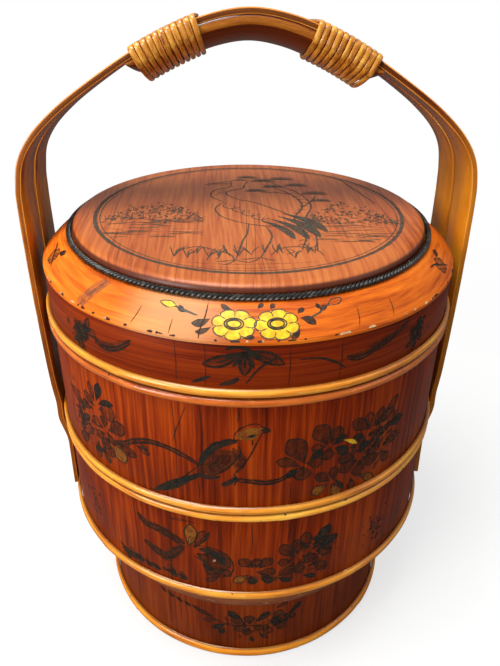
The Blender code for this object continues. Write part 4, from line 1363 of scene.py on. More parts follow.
    def branch(self, points: Sequence[Pair], width: float, line: Ink = Ink.LINE) -> None:
        """Paint a branch as two broken edges with a wash between them."""
        self.stroke(points, width, Ink.WASH, 0.45, 1)
        for side in (-1.0, 1.0):
            shifted = []
            for index, point in enumerate(points):
                ahead = Vector(points[min(index + 1, len(points) - 1)]) - Vector(points[max(index - 1, 0)])
                across = Vector((-ahead.y, ahead.x)).normalized() * (side * width / 2 * (1.0 - 0.4 * index / len(points)))
                shifted.append(tuple(Vector(point) + across))
            self.stroke(shifted, 0.7, line, 0.3)

    def mesh(self, name: str, lay: Callable[[float, float, float], Vector], reach: float = 4.0) -> bpy.types.Object:
        """Lay the strokes on a surface as one piece.

        Args:
            name: Name of the piece.
            lay: Point on the surface for a place across, a place up, and a lift, in metres.
            reach: Longest facet across a broad stroke, in millimetres.

        Returns:
            The piece, with each face's material index set by its ink.
        """
        spots: list[Vector] = []
        faces: list[tuple[int, ...]] = []
        inks: list[int] = []
        order = list(dict.fromkeys(ribbon.ink for ribbon in self.ribbons))
        for number, ribbon in enumerate(self.ribbons):
            lift = 0.00006 + 0.00003 * ribbon.layer + 0.0000004 * (number % 60)
            start = len(spots)
            slot = order.index(ribbon.ink)
            if not ribbon.widths:
                middle, *rim = ribbon.points
                rows = 4
                for row in range(1, rows + 1):
                    for point in rim:
                        spot = middle.lerp(point, row / rows)
                        spots.append(lay(spot.x * MM, spot.y * MM, lift))
                spots.append(lay(middle.x * MM, middle.y * MM, lift))
                centre = len(spots) - 1
                for column in range(len(rim) - 1):
                    faces.append((centre, start + column, start + column + 1))
                    inks.append(slot)
                    for row in range(rows - 1):
                        low = start + row * len(rim) + column
                        faces.append((low, low + len(rim), low + len(rim) + 1, low + 1))
                        inks.append(slot)
                continue
            columns = max(1, math.ceil(2 * max(ribbon.widths) / reach))
            count = len(ribbon.points)
            for index, (point, half) in enumerate(zip(ribbon.points, ribbon.widths)):
                along = ribbon.points[min(index + 1, count - 1)] - ribbon.points[max(index - 1, 0)]
                across = Vector((-along.y, along.x)).normalized() * half
                for column in range(columns + 1):
                    spot = point + across * (1 - 2 * column / columns)
                    spots.append(lay(spot.x * MM, spot.y * MM, lift))
            for index in range(count - 1):
                for column in range(columns):
                    low = start + index * (columns + 1) + column
                    faces.append((low, low + columns + 1, low + columns + 2, low + 1))
                    inks.append(slot)
        mesh = bpy.data.meshes.new(name)
        mesh.from_pydata([tuple(spot) for spot in spots], [], faces)
        mesh.update()
        item = bpy.data.objects.new(name, mesh)
        bpy.context.scene.collection.objects.link(item)
        for polygon, slot in zip(mesh.polygons, inks):
            polygon.material_index = slot
            polygon.use_smooth = True
        self.face_outwards(item, lay)
        item["inks"] = [ink.name for ink in order]
        return item

    @staticmethod
    def face_outwards(item: bpy.types.Object, lay: Callable[[float, float, float], Vector]) -> None:
        """Flip the faces that look into the surface."""
        out = lay(0.0, 0.0, 1.0) - lay(0.0, 0.0, 0.0)
        flat = out.z > 0.999
        wrong = []
        for polygon in item.data.polygons:
            away = Vector((0.0, 0.0, 1.0)) if flat else Vector((polygon.center.x, polygon.center.y, out.z * 0.15))
            wrong.append(polygon.normal.dot(away) < 0)
        if any(wrong):
            open_edit(item)
            bpy.ops.mesh.select_mode(type="FACE")
            bpy.ops.mesh.select_all(action="DESELECT")
            bpy.ops.object.mode_set(mode="OBJECT")
            for polygon, flip in zip(item.data.polygons, wrong):
                polygon.select = flip
            bpy.ops.object.mode_set(mode="EDIT")
            bpy.ops.mesh.flip_normals()
            bpy.ops.mesh.select_mode(type="VERT")
            bpy.ops.object.mode_set(mode="OBJECT")


@dataclass
class Ornament:
    """Painted ornament on the walls, the shoulder and the panel."""

    wall_radius: float = 0.1564
    foot_radius: float = 0.1322
    panel_top: float = 0.3612

    def on_wall(self, radius: float) -> Callable[[float, float, float], Vector]:
        """Return the rule that lays a flat point on a round wall."""

        def lay(across: float, up: float, lift: float) -> Vector:
            """Return the point on the wall."""
            angle = FRONT_TURN + across / radius
            return Vector(((radius + lift) * math.sin(angle), -(radius + lift) * math.cos(angle), up))

        return lay

    def on_shoulder(self) -> Callable[[float, float, float], Vector]:
        """Return the rule that lays a flat point on the shoulder: up is the distance up its slope."""
        top = LidTop()

        def lay(across: float, up: float, lift: float) -> Vector:
            """Return the point on the shoulder."""
            share = up / 0.0237
            radius, height = top.slope(share)
            angle = FRONT_TURN + across / 0.1480
            radius, height = radius + lift * 0.65, height + lift * 0.76
            return Vector((radius * math.sin(angle), -radius * math.cos(angle), height))

        return lay

    def on_panel(self) -> Callable[[float, float, float], Vector]:
        """Return the rule that lays a flat point on the panel's top."""

        def lay(across: float, up: float, lift: float) -> Vector:
            """Return the point on the panel."""
            cosine, sine = math.cos(FRONT_TURN), math.sin(FRONT_TURN)
            return Vector((across * cosine - up * sine, across * sine + up * cosine, self.panel_top + lift))

        return lay

    def bird(self, brush: Brush) -> None:
        """Paint a perched bird, seen from the side."""
        brush.blade((-7.0, 253.0), (-33.0, 230.0), 19.0, Ink.WASH, -0.04, 1, 0.45)
        brush.blade((-9.0, 257.0), (-7.0, 235.0), 9.0, Ink.WASH, 0.16, 0, 0.5)
        brush.blade((-7.0, 266.0), (10.0, 273.0), 9.5, Ink.GOLD, -0.06, 1, 0.45)
        brush.stroke([(-6.0, 262.5), (-13.0, 261.0), (-21.0, 256.5), (-27.0, 249.0), (-31.0, 240.0)], 3.6, Ink.SOLID, 0.35, 2)
        brush.stroke([(-5.5, 263.5), (-13.0, 262.5), (-22.0, 258.0), (-28.0, 250.0), (-32.0, 240.0)], 0.8)
        brush.blade((-31.0, 233.0), (-67.5, 206.0), 7.6, Ink.SOLID, 0.02, 2, 0.55)
        brush.blade((-28.0, 231.0), (-58.0, 209.5), 5.0, Ink.SOLID, -0.07, 2, 0.5)
        brush.stroke([(-31.0, 240.0), (-37.0, 233.0), (-46.0, 223.0), (-58.0, 212.0)], 0.6)
        brush.stroke([(-17.0, 231.5), (-25.0, 229.5), (-33.0, 231.0)], 2.2, Ink.SOLID, 0.3, 2)
        brush.stroke([(-8.0, 262.0), (-8.0, 267.0), (-5.0, 272.0), (0.5, 275.5), (6.0, 276.5), (10.0, 274.5)], 0.6)
        brush.stroke([(9.5, 274.0), (14.5, 271.0), (9.5, 269.0)], 1.0, Ink.LINE, 0.6)
        brush.stroke([(9.5, 269.0), (7.5, 264.0), (4.5, 256.0), (1.0, 248.0), (-3.5, 240.5), (-8.0, 234.5)], 0.7)
        brush.stroke([(3.5, 264.0), (3.8, 259.0)], 0.6)
        brush.stroke([(-5.5, 258.5), (-3.8, 254.5), (-5.0, 249.5), (-9.5, 243.0), (-15.0, 237.0), (-21.0, 232.5)], 0.7)
        brush.blade((0.0, 265.8), (6.0, 267.5), 2.6, Ink.SOLID, 0.0, 3)
        brush.blade((8.5, 271.5), (12.5, 271.2), 2.2, Ink.SOLID, 0.0, 3)
        for shift in (0.0, 4.0, 8.0, 12.0):
            brush.stroke([(-28.0 + shift, 236.0 + shift * 0.2), (-21.0 + shift, 243.0), (-16.0 + shift * 0.8, 251.0)], 0.5)
        brush.stroke([(-16.5, 223.5), (-11.0, 227.0), (-7.0, 231.0)], 2.6, Ink.SOLID, 0.6)
        brush.stroke([(-8.0, 235.0), (-7.0, 230.0), (-8.0, 224.0)], 1.2, Ink.SOLID, 0.5)

    def flyer(self, brush: Brush) -> None:
        """Paint a bird on the wing with two long tail feathers."""
        upper = [(-45.0, 160.0), (-56.0, 165.0), (-66.0, 168.0), (-77.0, 169.0), (-84.0, 176.0)]
        lower = [(-46.0, 158.0), (-53.0, 149.0), (-61.0, 141.0), (-70.0, 144.0), (-80.0, 149.0)]
        for feather, width in ((upper, 6.0), (lower, 6.4)):
            brush.stroke(feather, width, Ink.SHADE, 0.3, 1)
            brush.stroke(feather, width * 0.7, Ink.WASH, 0.3, 1)
            for side in (-1.0, 1.0):
                brush.stroke([(x, y + side * width * 0.62 * (1 - number / 6)) for number, (x, y) in enumerate(feather)], 0.7)
        brush.petals((
            ((-43.0, 158.0), (-40.5, 182.0), 10.0, Ink.GOLD), ((-38.0, 158.0), (-30.0, 178.0), 7.0, Ink.SHADE),
            ((-36.0, 153.0), (-11.0, 144.0), 24.0, Ink.WASH), ((-32.0, 143.0), (-20.0, 131.0), 9.0, Ink.WASH),
            ((-20.0, 140.0), (-11.0, 133.0), 7.0, Ink.WASH),
        ))
        brush.stroke([(-34.0, 158.0), (-26.0, 157.5), (-19.0, 152.0), (-15.0, 144.0)], 4.2, Ink.SOLID, 0.3, 2)
        brush.stroke([(-40.0, 160.0), (-32.0, 162.0), (-20.0, 160.0), (-12.0, 153.0), (-9.0, 144.0), (-11.0, 135.0), (-18.0, 131.0)], 0.7)
        brush.stroke([(-57.0, 182.5), (-46.0, 184.5), (-36.0, 184.0)], 2.0, Ink.SHADE, 0.2, 1)
        brush.stroke([(-38.0, 150.0), (-31.0, 146.0), (-27.0, 139.0), (-22.0, 134.0)], 1.4, Ink.SOLID, 0.3)
        brush.blade((-24.0, 147.0), (-22.0, 149.5), 2.0, Ink.CHIP, 0.0, 3)

    def cluster(self, brush: Brush, spots: Sequence[tuple[float, float, float]], leaves: int, spread: float) -> None:
        """Paint blossoms with dark leaves pushed out between them."""
        chance = brush.chance
        for x, y, radius in spots:
            for _ in range(leaves):
                angle = chance.uniform(0.0, math.tau)
                start = (x + radius * 0.6 * math.cos(angle), y + radius * 0.6 * math.sin(angle))
                length = radius * chance.uniform(0.9, 1.5) * spread
                end = (start[0] + length * math.cos(angle), start[1] + length * math.sin(angle))
                fill = chance.choice((Ink.SHADE, Ink.WASH, Ink.SOLID))
                brush.leaf(start, end, length * chance.uniform(0.35, 0.6), fill, bend=chance.uniform(-0.15, 0.15))
        for x, y, radius in spots:
            brush.peony((x, y), radius)

    def smudges(self, brush: Brush, centre: Pair, size: Pair, count: int, ink: Ink = Ink.SHADE) -> None:
        """Dab soft dark touches round a centre."""
        for _ in range(count):
            x = centre[0] + size[0] * brush.chance.gauss(0.0, 0.45)
            y = centre[1] + size[1] * brush.chance.gauss(0.0, 0.45)
            angle = brush.chance.uniform(0.0, math.tau)
            length = brush.chance.uniform(2.0, 6.5)
            end = (x + length * math.cos(angle), y + length * math.sin(angle))
            brush.blade((x, y), end, length * brush.chance.uniform(0.3, 0.7), ink, 0.1, 0)

    def put(self, brush: Brush, name: str, body: str, slot: str, lay: Callable) -> None:
        """Lay a painting on its surface and dress it."""
        item = brush.mesh(name, lay)
        inks = [INK_FINISHES[name] for name in item["inks"]]
        del item["inks"]
        dress(item, body, slot, inks)

    def middle_tier(self) -> None:
        """Paint a perched bird between two clumps of blossom."""
        brush = Brush(5)
        self.smudges(brush, (-136.0, 240.0), (16.0, 22.0), 110)
        self.smudges(brush, (-134.0, 236.0), (10.0, 14.0), 46, Ink.SOLID)
        self.smudges(brush, (98.0, 236.0), (20.0, 20.0), 110)
        self.smudges(brush, (84.0, 241.0), (16.0, 6.0), 40, Ink.SOLID)
        self.smudges(brush, (106.0, 252.0), (12.0, 10.0), 26, Ink.SOLID)
        brush.branch([(-101.0, 234.0), (-88.0, 240.0), (-78.0, 246.0), (-66.0, 250.0), (-52.0, 249.0), (-40.0, 244.5), (-31.0, 239.0)], 3.2)
        brush.branch([(-10.0, 230.0), (3.0, 228.0), (14.0, 226.5), (24.0, 229.0), (31.0, 236.0)], 3.0)
        brush.petals((
            ((39.0, 240.0), (27.0, 262.0), 15.0, Ink.WASH), ((35.0, 238.0), (19.5, 244.5), 8.0, Ink.WASH),
            ((37.0, 238.0), (38.0, 225.5), 12.0, Ink.WASH), ((40.0, 240.0), (51.5, 238.0), 9.0, Ink.SHADE),
            ((34.0, 237.0), (27.0, 230.0), 5.0, Ink.SOLID), ((42.0, 242.0), (50.0, 250.0), 7.0, Ink.SOLID),
            ((54.0, 252.0), (45.0, 270.0), 13.0, Ink.WASH), ((56.0, 253.0), (61.5, 266.0), 10.0, Ink.WASH),
            ((53.0, 251.0), (43.0, 252.0), 7.0, Ink.SHADE), ((56.0, 250.0), (56.0, 239.0), 9.0, Ink.WASH),
            ((58.0, 251.0), (68.0, 257.0), 6.0, Ink.SOLID), ((60.0, 248.0), (70.0, 240.0), 8.0, Ink.SOLID),
            ((88.0, 254.0), (72.0, 266.0), 10.0, Ink.WASH), ((88.0, 256.0), (86.0, 269.0), 8.0, Ink.SHADE),
            ((90.0, 255.0), (98.0, 269.0), 8.0, Ink.WASH), ((89.0, 250.0), (101.0, 245.0), 8.0, Ink.WASH),
            ((93.0, 254.0), (110.0, 262.0), 9.0, Ink.WASH), ((100.0, 262.0), (113.0, 272.0), 7.0, Ink.SHADE),
            ((84.0, 248.0), (74.0, 252.0), 6.0, Ink.SOLID), ((104.0, 250.0), (122.0, 250.0), 8.0, Ink.SOLID),
            ((78.0, 232.0), (64.0, 238.0), 10.0, Ink.WASH), ((80.0, 230.0), (66.0, 224.0), 11.0, Ink.WASH),
            ((82.0, 229.0), (80.0, 215.0), 11.0, Ink.WASH), ((84.0, 231.0), (98.0, 222.0), 11.0, Ink.WASH),
            ((85.0, 234.0), (100.0, 236.0), 9.0, Ink.SHADE), ((82.0, 235.0), (84.0, 245.0), 7.0, Ink.SOLID),
            ((58.0, 219.0), (48.0, 228.0), 8.0, Ink.WASH), ((57.0, 217.0), (45.0, 211.0), 9.0, Ink.GOLD),
            ((60.0, 216.0), (67.0, 202.5), 8.0, Ink.GOLD), ((61.0, 219.0), (60.0, 231.0), 7.0, Ink.SHADE),
            ((76.0, 215.0), (77.0, 203.5), 6.0, Ink.WASH), ((82.0, 215.0), (98.0, 202.0), 7.0, Ink.GOLD),
            ((63.0, 219.0), (70.0, 208.0), 3.0, Ink.SOLID), ((104.0, 232.0), (120.0, 236.0), 9.0, Ink.SHADE),
            ((102.0, 228.0), (112.0, 216.0), 8.0, Ink.WASH),
        ))
        brush.petals((
            ((-112.0, 262.0), (-96.0, 268.5), 5.0, Ink.SOLID), ((-114.0, 264.0), (-108.0, 281.0), 7.0, Ink.SOLID),
            ((-117.0, 262.0), (-121.0, 277.0), 6.0, Ink.SHADE), ((-112.0, 258.0), (-95.0, 260.0), 14.0, Ink.SHADE),
            ((-117.0, 258.0), (-128.0, 266.0), 7.0, Ink.WASH), ((-120.0, 254.0), (-133.0, 254.0), 7.0, Ink.WASH),
            ((-104.0, 243.0), (-88.5, 254.5), 12.0, Ink.WASH), ((-106.0, 241.0), (-98.0, 233.0), 6.0, Ink.WASH),
            ((-108.0, 244.0), (-108.0, 254.0), 8.0, Ink.WASH), ((-110.0, 242.0), (-121.0, 247.0), 9.0, Ink.SHADE),
            ((-109.0, 238.0), (-118.0, 231.0), 8.0, Ink.WASH), ((-104.0, 236.0), (-112.0, 224.0), 9.0, Ink.WASH),
            ((-99.0, 235.0), (-90.0, 220.5), 13.0, Ink.GOLD), ((-96.0, 237.0), (-79.0, 232.0), 8.0, Ink.WASH),
            ((-104.0, 230.0), (-104.0, 219.0), 7.0, Ink.WASH), ((-110.0, 222.0), (-122.0, 216.0), 5.0, Ink.SOLID),
            ((-112.0, 224.0), (-107.0, 211.0), 6.0, Ink.WASH), ((-118.0, 226.0), (-119.0, 210.0), 7.0, Ink.SHADE),
            ((-78.0, 242.0), (-68.0, 237.5), 5.0, Ink.SHADE), ((-74.0, 246.0), (-69.0, 240.0), 3.4, Ink.WASH),
            ((-130.0, 250.0), (-150.0, 258.0), 10.0, Ink.SHADE), ((-130.0, 226.0), (-146.0, 214.0), 9.0, Ink.SHADE),
        ))
        brush.blade((66.0, 253.0), (77.5, 246.0), 3.2, Ink.YELLOW, 0.05, 4)
        self.bird(brush)
        for x, low, high in ((-48.0, 225.0, 289.0), (-29.5, 241.0, 289.0), (-33.0, 205.0, 226.0), (-6.0, 278.0, 289.0), (29.0, 206.0, 226.0)):
            brush.stroke([(x, low), (x + 1.0, (low + high) / 2), (x - 0.3, high)], 0.30, Ink.CRACK, 0.3)
        brush.stroke([(-39.0, 286.0), (-43.0, 275.0), (-47.0, 264.0), (-48.5, 256.0)], 0.45, Ink.LINE, 0.2)
        self.put(brush, "middle_tier_ornament", "middle_tier", "tier_wall", self.on_wall(self.wall_radius))

    def lower_tier(self) -> None:
        """Paint a bird on the wing over low blossom."""
        brush = Brush(11)
        self.smudges(brush, (-94.0, 124.5), (13.0, 3.4), 60)
        self.smudges(brush, (-96.0, 124.0), (9.0, 2.4), 22, Ink.SOLID)
        self.smudges(brush, (-55.0, 125.0), (9.0, 3.0), 30)
        self.smudges(brush, (56.0, 162.0), (9.0, 12.0), 40, Ink.SOLID)
        self.smudges(brush, (52.0, 146.0), (14.0, 18.0), 60)
        self.smudges(brush, (20.0, 130.0), (26.0, 5.0), 50)
        self.smudges(brush, (112.0, 145.0), (16.0, 18.0), 70, Ink.SHADE)
        self.smudges(brush, (-138.0, 150.0), (10.0, 22.0), 40, Ink.SHADE)
        self.flyer(brush)
        brush.petals((
            ((6.0, 143.0), (-5.0, 151.0), 9.0, Ink.WASH), ((8.0, 143.0), (8.0, 152.5), 9.0, Ink.WASH),
            ((10.0, 142.0), (19.0, 152.0), 9.0, Ink.WASH), ((8.0, 138.0), (22.0, 139.0), 8.0, Ink.WASH),
            ((2.0, 135.0), (-9.0, 127.0), 8.0, Ink.GOLD), ((4.0, 134.0), (6.0, 124.5), 7.0, Ink.SOLID),
            ((12.0, 134.0), (20.0, 126.0), 7.0, Ink.SOLID), ((36.0, 150.0), (26.0, 165.0), 10.0, Ink.WASH),
            ((38.0, 152.0), (37.0, 168.0), 9.0, Ink.WASH), ((34.0, 146.0), (24.0, 146.0), 8.0, Ink.SHADE),
            ((36.0, 144.0), (29.0, 132.0), 9.0, Ink.WASH), ((40.0, 144.0), (42.0, 131.0), 9.0, Ink.WASH),
            ((42.0, 150.0), (52.0, 142.0), 10.0, Ink.WASH), ((44.0, 156.0), (44.0, 174.0), 9.0, Ink.SHADE),
            ((50.0, 158.0), (62.0, 176.0), 10.0, Ink.SOLID), ((54.0, 156.0), (70.0, 162.0), 9.0, Ink.SOLID),
            ((52.0, 152.0), (66.0, 146.0), 10.0, Ink.WASH), ((50.0, 140.0), (62.0, 128.0), 9.0, Ink.WASH),
            ((24.0, 130.0), (34.0, 124.5), 5.0, Ink.SOLID), ((44.0, 128.0), (54.0, 123.5), 5.0, Ink.SOLID),
            ((-20.0, 131.0), (-30.0, 125.0), 5.0, Ink.SHADE), ((-26.0, 178.0), (-33.0, 166.0), 3.0, Ink.SHADE),
        ))
        for x in (-106.0, -98.0, -90.0, -82.0, -75.0, -60.0, -52.0):
            brush.leaf((x, 127.0 - (x + 106.0) * 0.03), (x + 7.0, 122.0 - (x + 106.0) * 0.02), 4.2, Ink.SOLID)
        for x, low, high in ((-61.0, 112.0, 134.0), (4.0, 155.0, 188.0), (30.0, 168.0, 188.0), (-20.0, 164.0, 188.0), (-12.0, 112.0, 130.0)):
            brush.stroke([(x, low), (x + 0.8, (low + high) / 2), (x, high)], 0.28, Ink.CRACK, 0.3)
        self.put(brush, "lower_tier_ornament", "base", "tier_wall", self.on_wall(self.wall_radius))

    def foot(self) -> None:
        """Paint a spray of blossom on the foot."""
        brush = Brush(23)
        self.smudges(brush, (6.0, 42.0), (26.0, 12.0), 46, Ink.SHADE)
        self.smudges(brush, (30.0, 44.0), (9.0, 7.0), 24, Ink.SOLID)
        brush.petals((
            ((2.0, 41.0), (-9.0, 33.0), 9.0, Ink.WASH), ((0.0, 43.0), (-12.0, 47.0), 8.0, Ink.SHADE),
            ((4.0, 42.0), (4.0, 53.0), 9.0, Ink.WASH), ((7.0, 41.0), (16.0, 34.0), 8.0, Ink.WASH),
            ((3.0, 38.0), (1.5, 27.0), 8.0, Ink.WASH), ((8.0, 44.0), (20.0, 57.0), 6.0, Ink.SOLID),
            ((-2.0, 48.0), (-14.0, 58.0), 7.0, Ink.SOLID), ((22.0, 42.0), (38.0, 46.0), 12.0, Ink.SHADE),
            ((24.0, 46.0), (30.0, 57.0), 8.0, Ink.WASH), ((24.0, 38.0), (35.0, 32.0), 9.0, Ink.WASH),
            ((20.0, 38.0), (19.0, 26.5), 8.0, Ink.SHADE), ((38.0, 50.0), (48.0, 61.0), 5.0, Ink.SOLID),
            ((34.0, 50.0), (44.0, 44.0), 6.0, Ink.WASH), ((-17.0, 40.0), (-27.0, 32.0), 6.0, Ink.SOLID),
            ((-24.0, 44.0), (-36.0, 41.0), 5.0, Ink.SHADE), ((-28.0, 47.0), (-41.0, 52.0), 5.0, Ink.WASH),
            ((-18.0, 35.0), (-22.0, 27.0), 5.0, Ink.SOLID), ((5.0, 26.0), (7.0, 18.0), 3.0, Ink.SOLID),
            ((12.0, 30.0), (20.0, 21.0), 3.4, Ink.SHADE), ((26.0, 60.0), (36.0, 65.0), 4.0, Ink.SHADE),
        ))
        brush.stroke([(-30.0, 48.0), (-18.0, 41.0), (-6.0, 39.0), (4.0, 40.0), (20.0, 40.0), (36.0, 50.0)], 0.7)
        for x in (-78.0, -70.0, -62.0, -54.0, -46.0):
            brush.leaf((x, 62.0 - (x + 78.0) * 0.2), (x + 6.5, 58.0 - (x + 78.0) * 0.2), 3.0, Ink.SOLID)
        self.put(brush, "foot_ornament", "base", "foot_wall", self.on_wall(self.foot_radius))

    def lid_wall(self) -> None:
        """Paint a bamboo sprig at the front and long leaves to each side."""
        brush = Brush(31)
        root = (-3.0, 329.5)
        for tip, width in (((-27.0, 319.5), 7.0), ((-2.0, 313.0), 6.5), ((22.0, 320.0), 7.0)):
            brush.leaf(root, tip, width, Ink.SHADE, bend=0.06, pen=1.1)
        for tip, width in (((-14.0, 326.0), 3.4), ((-9.0, 319.0), 3.4), ((4.0, 318.0), 3.2), ((9.0, 325.0), 3.2)):
            brush.blade(root, tip, width, Ink.SOLID, 0.08, 2)
        brush.stroke([(-13.0, 331.0), (-7.0, 333.0), (0.0, 331.5), (4.0, 327.0)], 1.6, Ink.SOLID, 0.3)
        for path, width in (
            ([(20.0, 327.0), (8.0, 319.0), (-1.0, 307.0)], 1.1),
            ([(-17.0, 305.5), (-10.0, 308.0), (-5.0, 311.0)], 2.2),
            ([(-34.0, 305.5), (-28.0, 308.5), (-22.0, 311.5)], 1.6),
            ([(31.0, 323.0), (44.0, 322.0), (55.0, 317.0), (62.0, 311.0)], 1.0),
        ):
            brush.stroke(path, width, Ink.SOLID, 0.3)
        for points in (
            [(-106.0, 318.0), (-98.0, 315.0), (-86.0, 318.0), (-74.0, 326.5)],
            [(62.0, 320.0), (72.0, 317.5), (84.0, 321.0), (98.0, 325.0), (112.0, 331.0)],
        ):
            brush.stroke(points, 4.6, Ink.SHADE, 0.2, 1)
            brush.stroke(points, 1.0, Ink.LINE, 0.4)
            brush.stroke([(x, y - 2.4) for x, y in points], 0.9, Ink.LINE, 0.4)
        self.smudges(brush, (-122.0, 314.0), (11.0, 9.0), 60)
        self.smudges(brush, (-124.0, 316.0), (8.0, 7.0), 20, Ink.SOLID)
        self.smudges(brush, (124.0, 318.0), (10.0, 9.0), 60)
        self.cluster(brush, [(-120.0, 318.0, 8.0), (122.0, 318.0, 7.0)], 5, 1.0)
        for x in (-44.0, -25.5, 25.0, 58.0):
            brush.stroke([(x, 304.0), (x + 0.5, 318.0), (x, 333.0)], 0.28, Ink.CRACK, 0.3)
        self.put(brush, "lid_wall_ornament", "lid", "lid_wall", self.on_wall(self.wall_radius))

    def shoulder(self) -> None:
        """Paint two yellow blossoms with leaves and buds on the shoulder, and its crack."""
        brush = Brush(41)
        for x, turn in ((-8.0, 0.2), (17.0, 0.5)):
            centre = (x, 10.0)
            brush.petal_ring(centre, (13.2, 9.4), 7, Ink.YELLOW, Ink.GREY, turn, 0.55, 0.20)
            for size in ((5.6, 3.4), (4.2, 2.4)):
                ring = [
                    (centre[0] + size[0] * math.cos(math.tau * step / 20), centre[1] + 0.4 + size[1] * math.sin(math.tau * step / 20))
                    for step in range(21)
                ]
                brush.stroke(ring, 0.65, Ink.LINE, 0.7, layer=4, samples=1)
        for start, end, width in (
            ((-22.0, 13.0), (-33.0, 9.0), 5.0), ((-21.0, 8.0), (-30.0, 4.0), 3.4), ((31.0, 13.0), (40.0, 8.0), 5.0),
            ((30.0, 6.0), (24.0, 1.5), 3.6), ((-10.0, 19.5), (-17.0, 22.5), 3.4), ((6.0, 20.0), (10.0, 23.0), 3.0),
            ((14.0, 19.5), (17.0, 22.8), 3.4), ((-2.0, 1.8), (4.0, 2.4), 3.0), ((30.0, 15.5), (35.0, 18.5), 3.2),
            ((-38.0, 15.0), (-43.0, 19.0), 3.6), ((44.0, 15.0), (50.0, 18.5), 3.4), ((46.0, 17.0), (43.0, 21.0), 2.8),
        ):
            brush.blade(start, end, width, Ink.SOLID, 0.1, 2)
        brush.stroke([(-30.0, 14.0), (-38.0, 16.0), (-46.0, 18.0)], 0.9, Ink.GREY)
        brush.stroke([(36.0, 12.0), (44.0, 15.0), (52.0, 20.0)], 0.8, Ink.GREY)
        brush.blade((-44.0, 18.0), (-56.0, 19.5), 5.4, Ink.YELLOW, 0.0, 2, 0.45)
        brush.stroke([(-44.0, 18.0), (-49.0, 20.8), (-56.0, 19.5), (-50.0, 16.6), (-44.0, 18.0)], 0.6, Ink.GREY)
        brush.stroke([(50.0, 18.5), (54.0, 22.0), (61.0, 22.0), (58.0, 18.6), (50.0, 18.5)], 0.6, Ink.GREY)
        for x in (-178.0, 168.0):
            brush.petal_ring((x, 11.0), (7.5, 6.0), 5, Ink.SHADE, Ink.LINE, 0.4, 0.6, 0.30)
            brush.stroke([(x - 16.0, 16.0), (x - 8.0, 15.0), (x, 11.0), (x + 10.0, 6.0)], 0.9, Ink.LINE, 0.3)
            brush.leaf((x + 4.0, 16.0), (x + 13.0, 19.0), 4.0, Ink.SOLID)
        for shift, width in ((0.0, 4.2), (3.5, 3.4)):
            brush.stroke([(-114.0 + shift, 1.0), (-110.0 + shift, 11.0), (-103.0 + shift, 22.5)], width, Ink.GREY_WASH, 0.7, 0)
        brush.stroke([(-27.5, 0.5), (-27.0, 7.0), (-25.4, 14.0), (-25.0, 22.5)], 0.55, Ink.CRACK, 0.3)
        brush.stroke([(-45.0, 1.0), (-44.6, 10.0)], 0.3, Ink.CRACK, 0.3)
        for x in (-70.0, 66.0, 92.0):
            brush.stroke([(x, 2.0), (x + 2.0, 8.0), (x + 3.0, 14.0)], 0.3, Ink.CRACK, 0.2)
        chance = brush.chance
        for _ in range(46):
            x = chance.uniform(-190.0, 190.0)
            length = chance.uniform(1.0, 6.0)
            brush.stroke([(x, -0.1), (x + length / 2, 0.25), (x + length, -0.05)], chance.uniform(0.5, 1.0), chance.choice((Ink.CRACK, Ink.CRACK, Ink.CHIP)), 0.3)
        self.put(brush, "lid_shoulder_ornament", "lid", "lid_shoulder", self.on_shoulder())

    def ground(self, brush: Brush, left: float, right: float, level: float, tall: float) -> None:
        """Paint a low bank: loose ground lines with bushes on it."""
        chance = brush.chance
        for _ in range(46):
            x = chance.uniform(left, right - 20.0)
            y = level + chance.uniform(-34.0, 6.0)
            run = chance.uniform(10.0, 30.0)
            brush.stroke([(x, y), (x + run * 0.5, y + chance.uniform(-1.5, 2.5)), (x + run, y + chance.uniform(-2.0, 2.0))], chance.uniform(0.5, 1.2), chance.choice((Ink.GREY, Ink.GREY_WASH)), 0.2)
        for _ in range(190):
            share = chance.random()
            x = left + (right - left) * share
            y = level + chance.uniform(0.0, tall) * math.sin(math.pi * share) ** 0.7
            angle = chance.uniform(0.0, math.tau)
            length = chance.uniform(1.8, 4.6)
            end = (x + length * math.cos(angle), y + length * math.sin(angle))
            brush.blade((x, y), end, length * 0.55, chance.choice((Ink.GREY, Ink.GREY_WASH, Ink.GREY)), 0.1, 2)
        for _ in range(44):
            share = chance.random()
            x = left + (right - left) * share
            y = level + chance.uniform(0.0, tall * 0.9) * math.sin(math.pi * share)
            brush.stroke([(x, y), (x + chance.uniform(-4, 4), y + chance.uniform(2, 8)), (x + chance.uniform(-7, 7), y + chance.uniform(6, 14))], 0.6, Ink.GREY, 0.3)

    def panel(self) -> None:
        """Paint the ring, two banks with bushes, and bamboo over a rock in the middle."""
        brush = Brush(59, 1.15)
        for radius, width in ((116.2, 2.6), (112.6, 0.7)):
            ring = [(radius * math.cos(math.tau * step / 180), radius * math.sin(math.tau * step / 180)) for step in range(181)]
            brush.stroke(ring, width, Ink.GREY, 0.9, samples=1, layer=1)
        self.ground(brush, -106.0, -34.0, -28.0, 44.0)
        self.ground(brush, 42.0, 108.0, -30.0, 48.0)
        self.crane(brush)
        brush.stroke([(78, 88), (88, 60), (96, 32), (101, 18)], 1.0, Ink.GREY, 0.4)
        brush.stroke([(80, 84), (86, 62), (90, 44)], 0.7, Ink.GREY, 0.3)
        for x in (-2.0, 4.0):
            brush.stroke([(x, -126.0), (x + 0.6, -60.0), (x, 20.0)], 0.22, Ink.CRACK, 0.2)
        self.put(brush, "lid_panel_ornament", "lid", "lid_panel", self.on_panel())

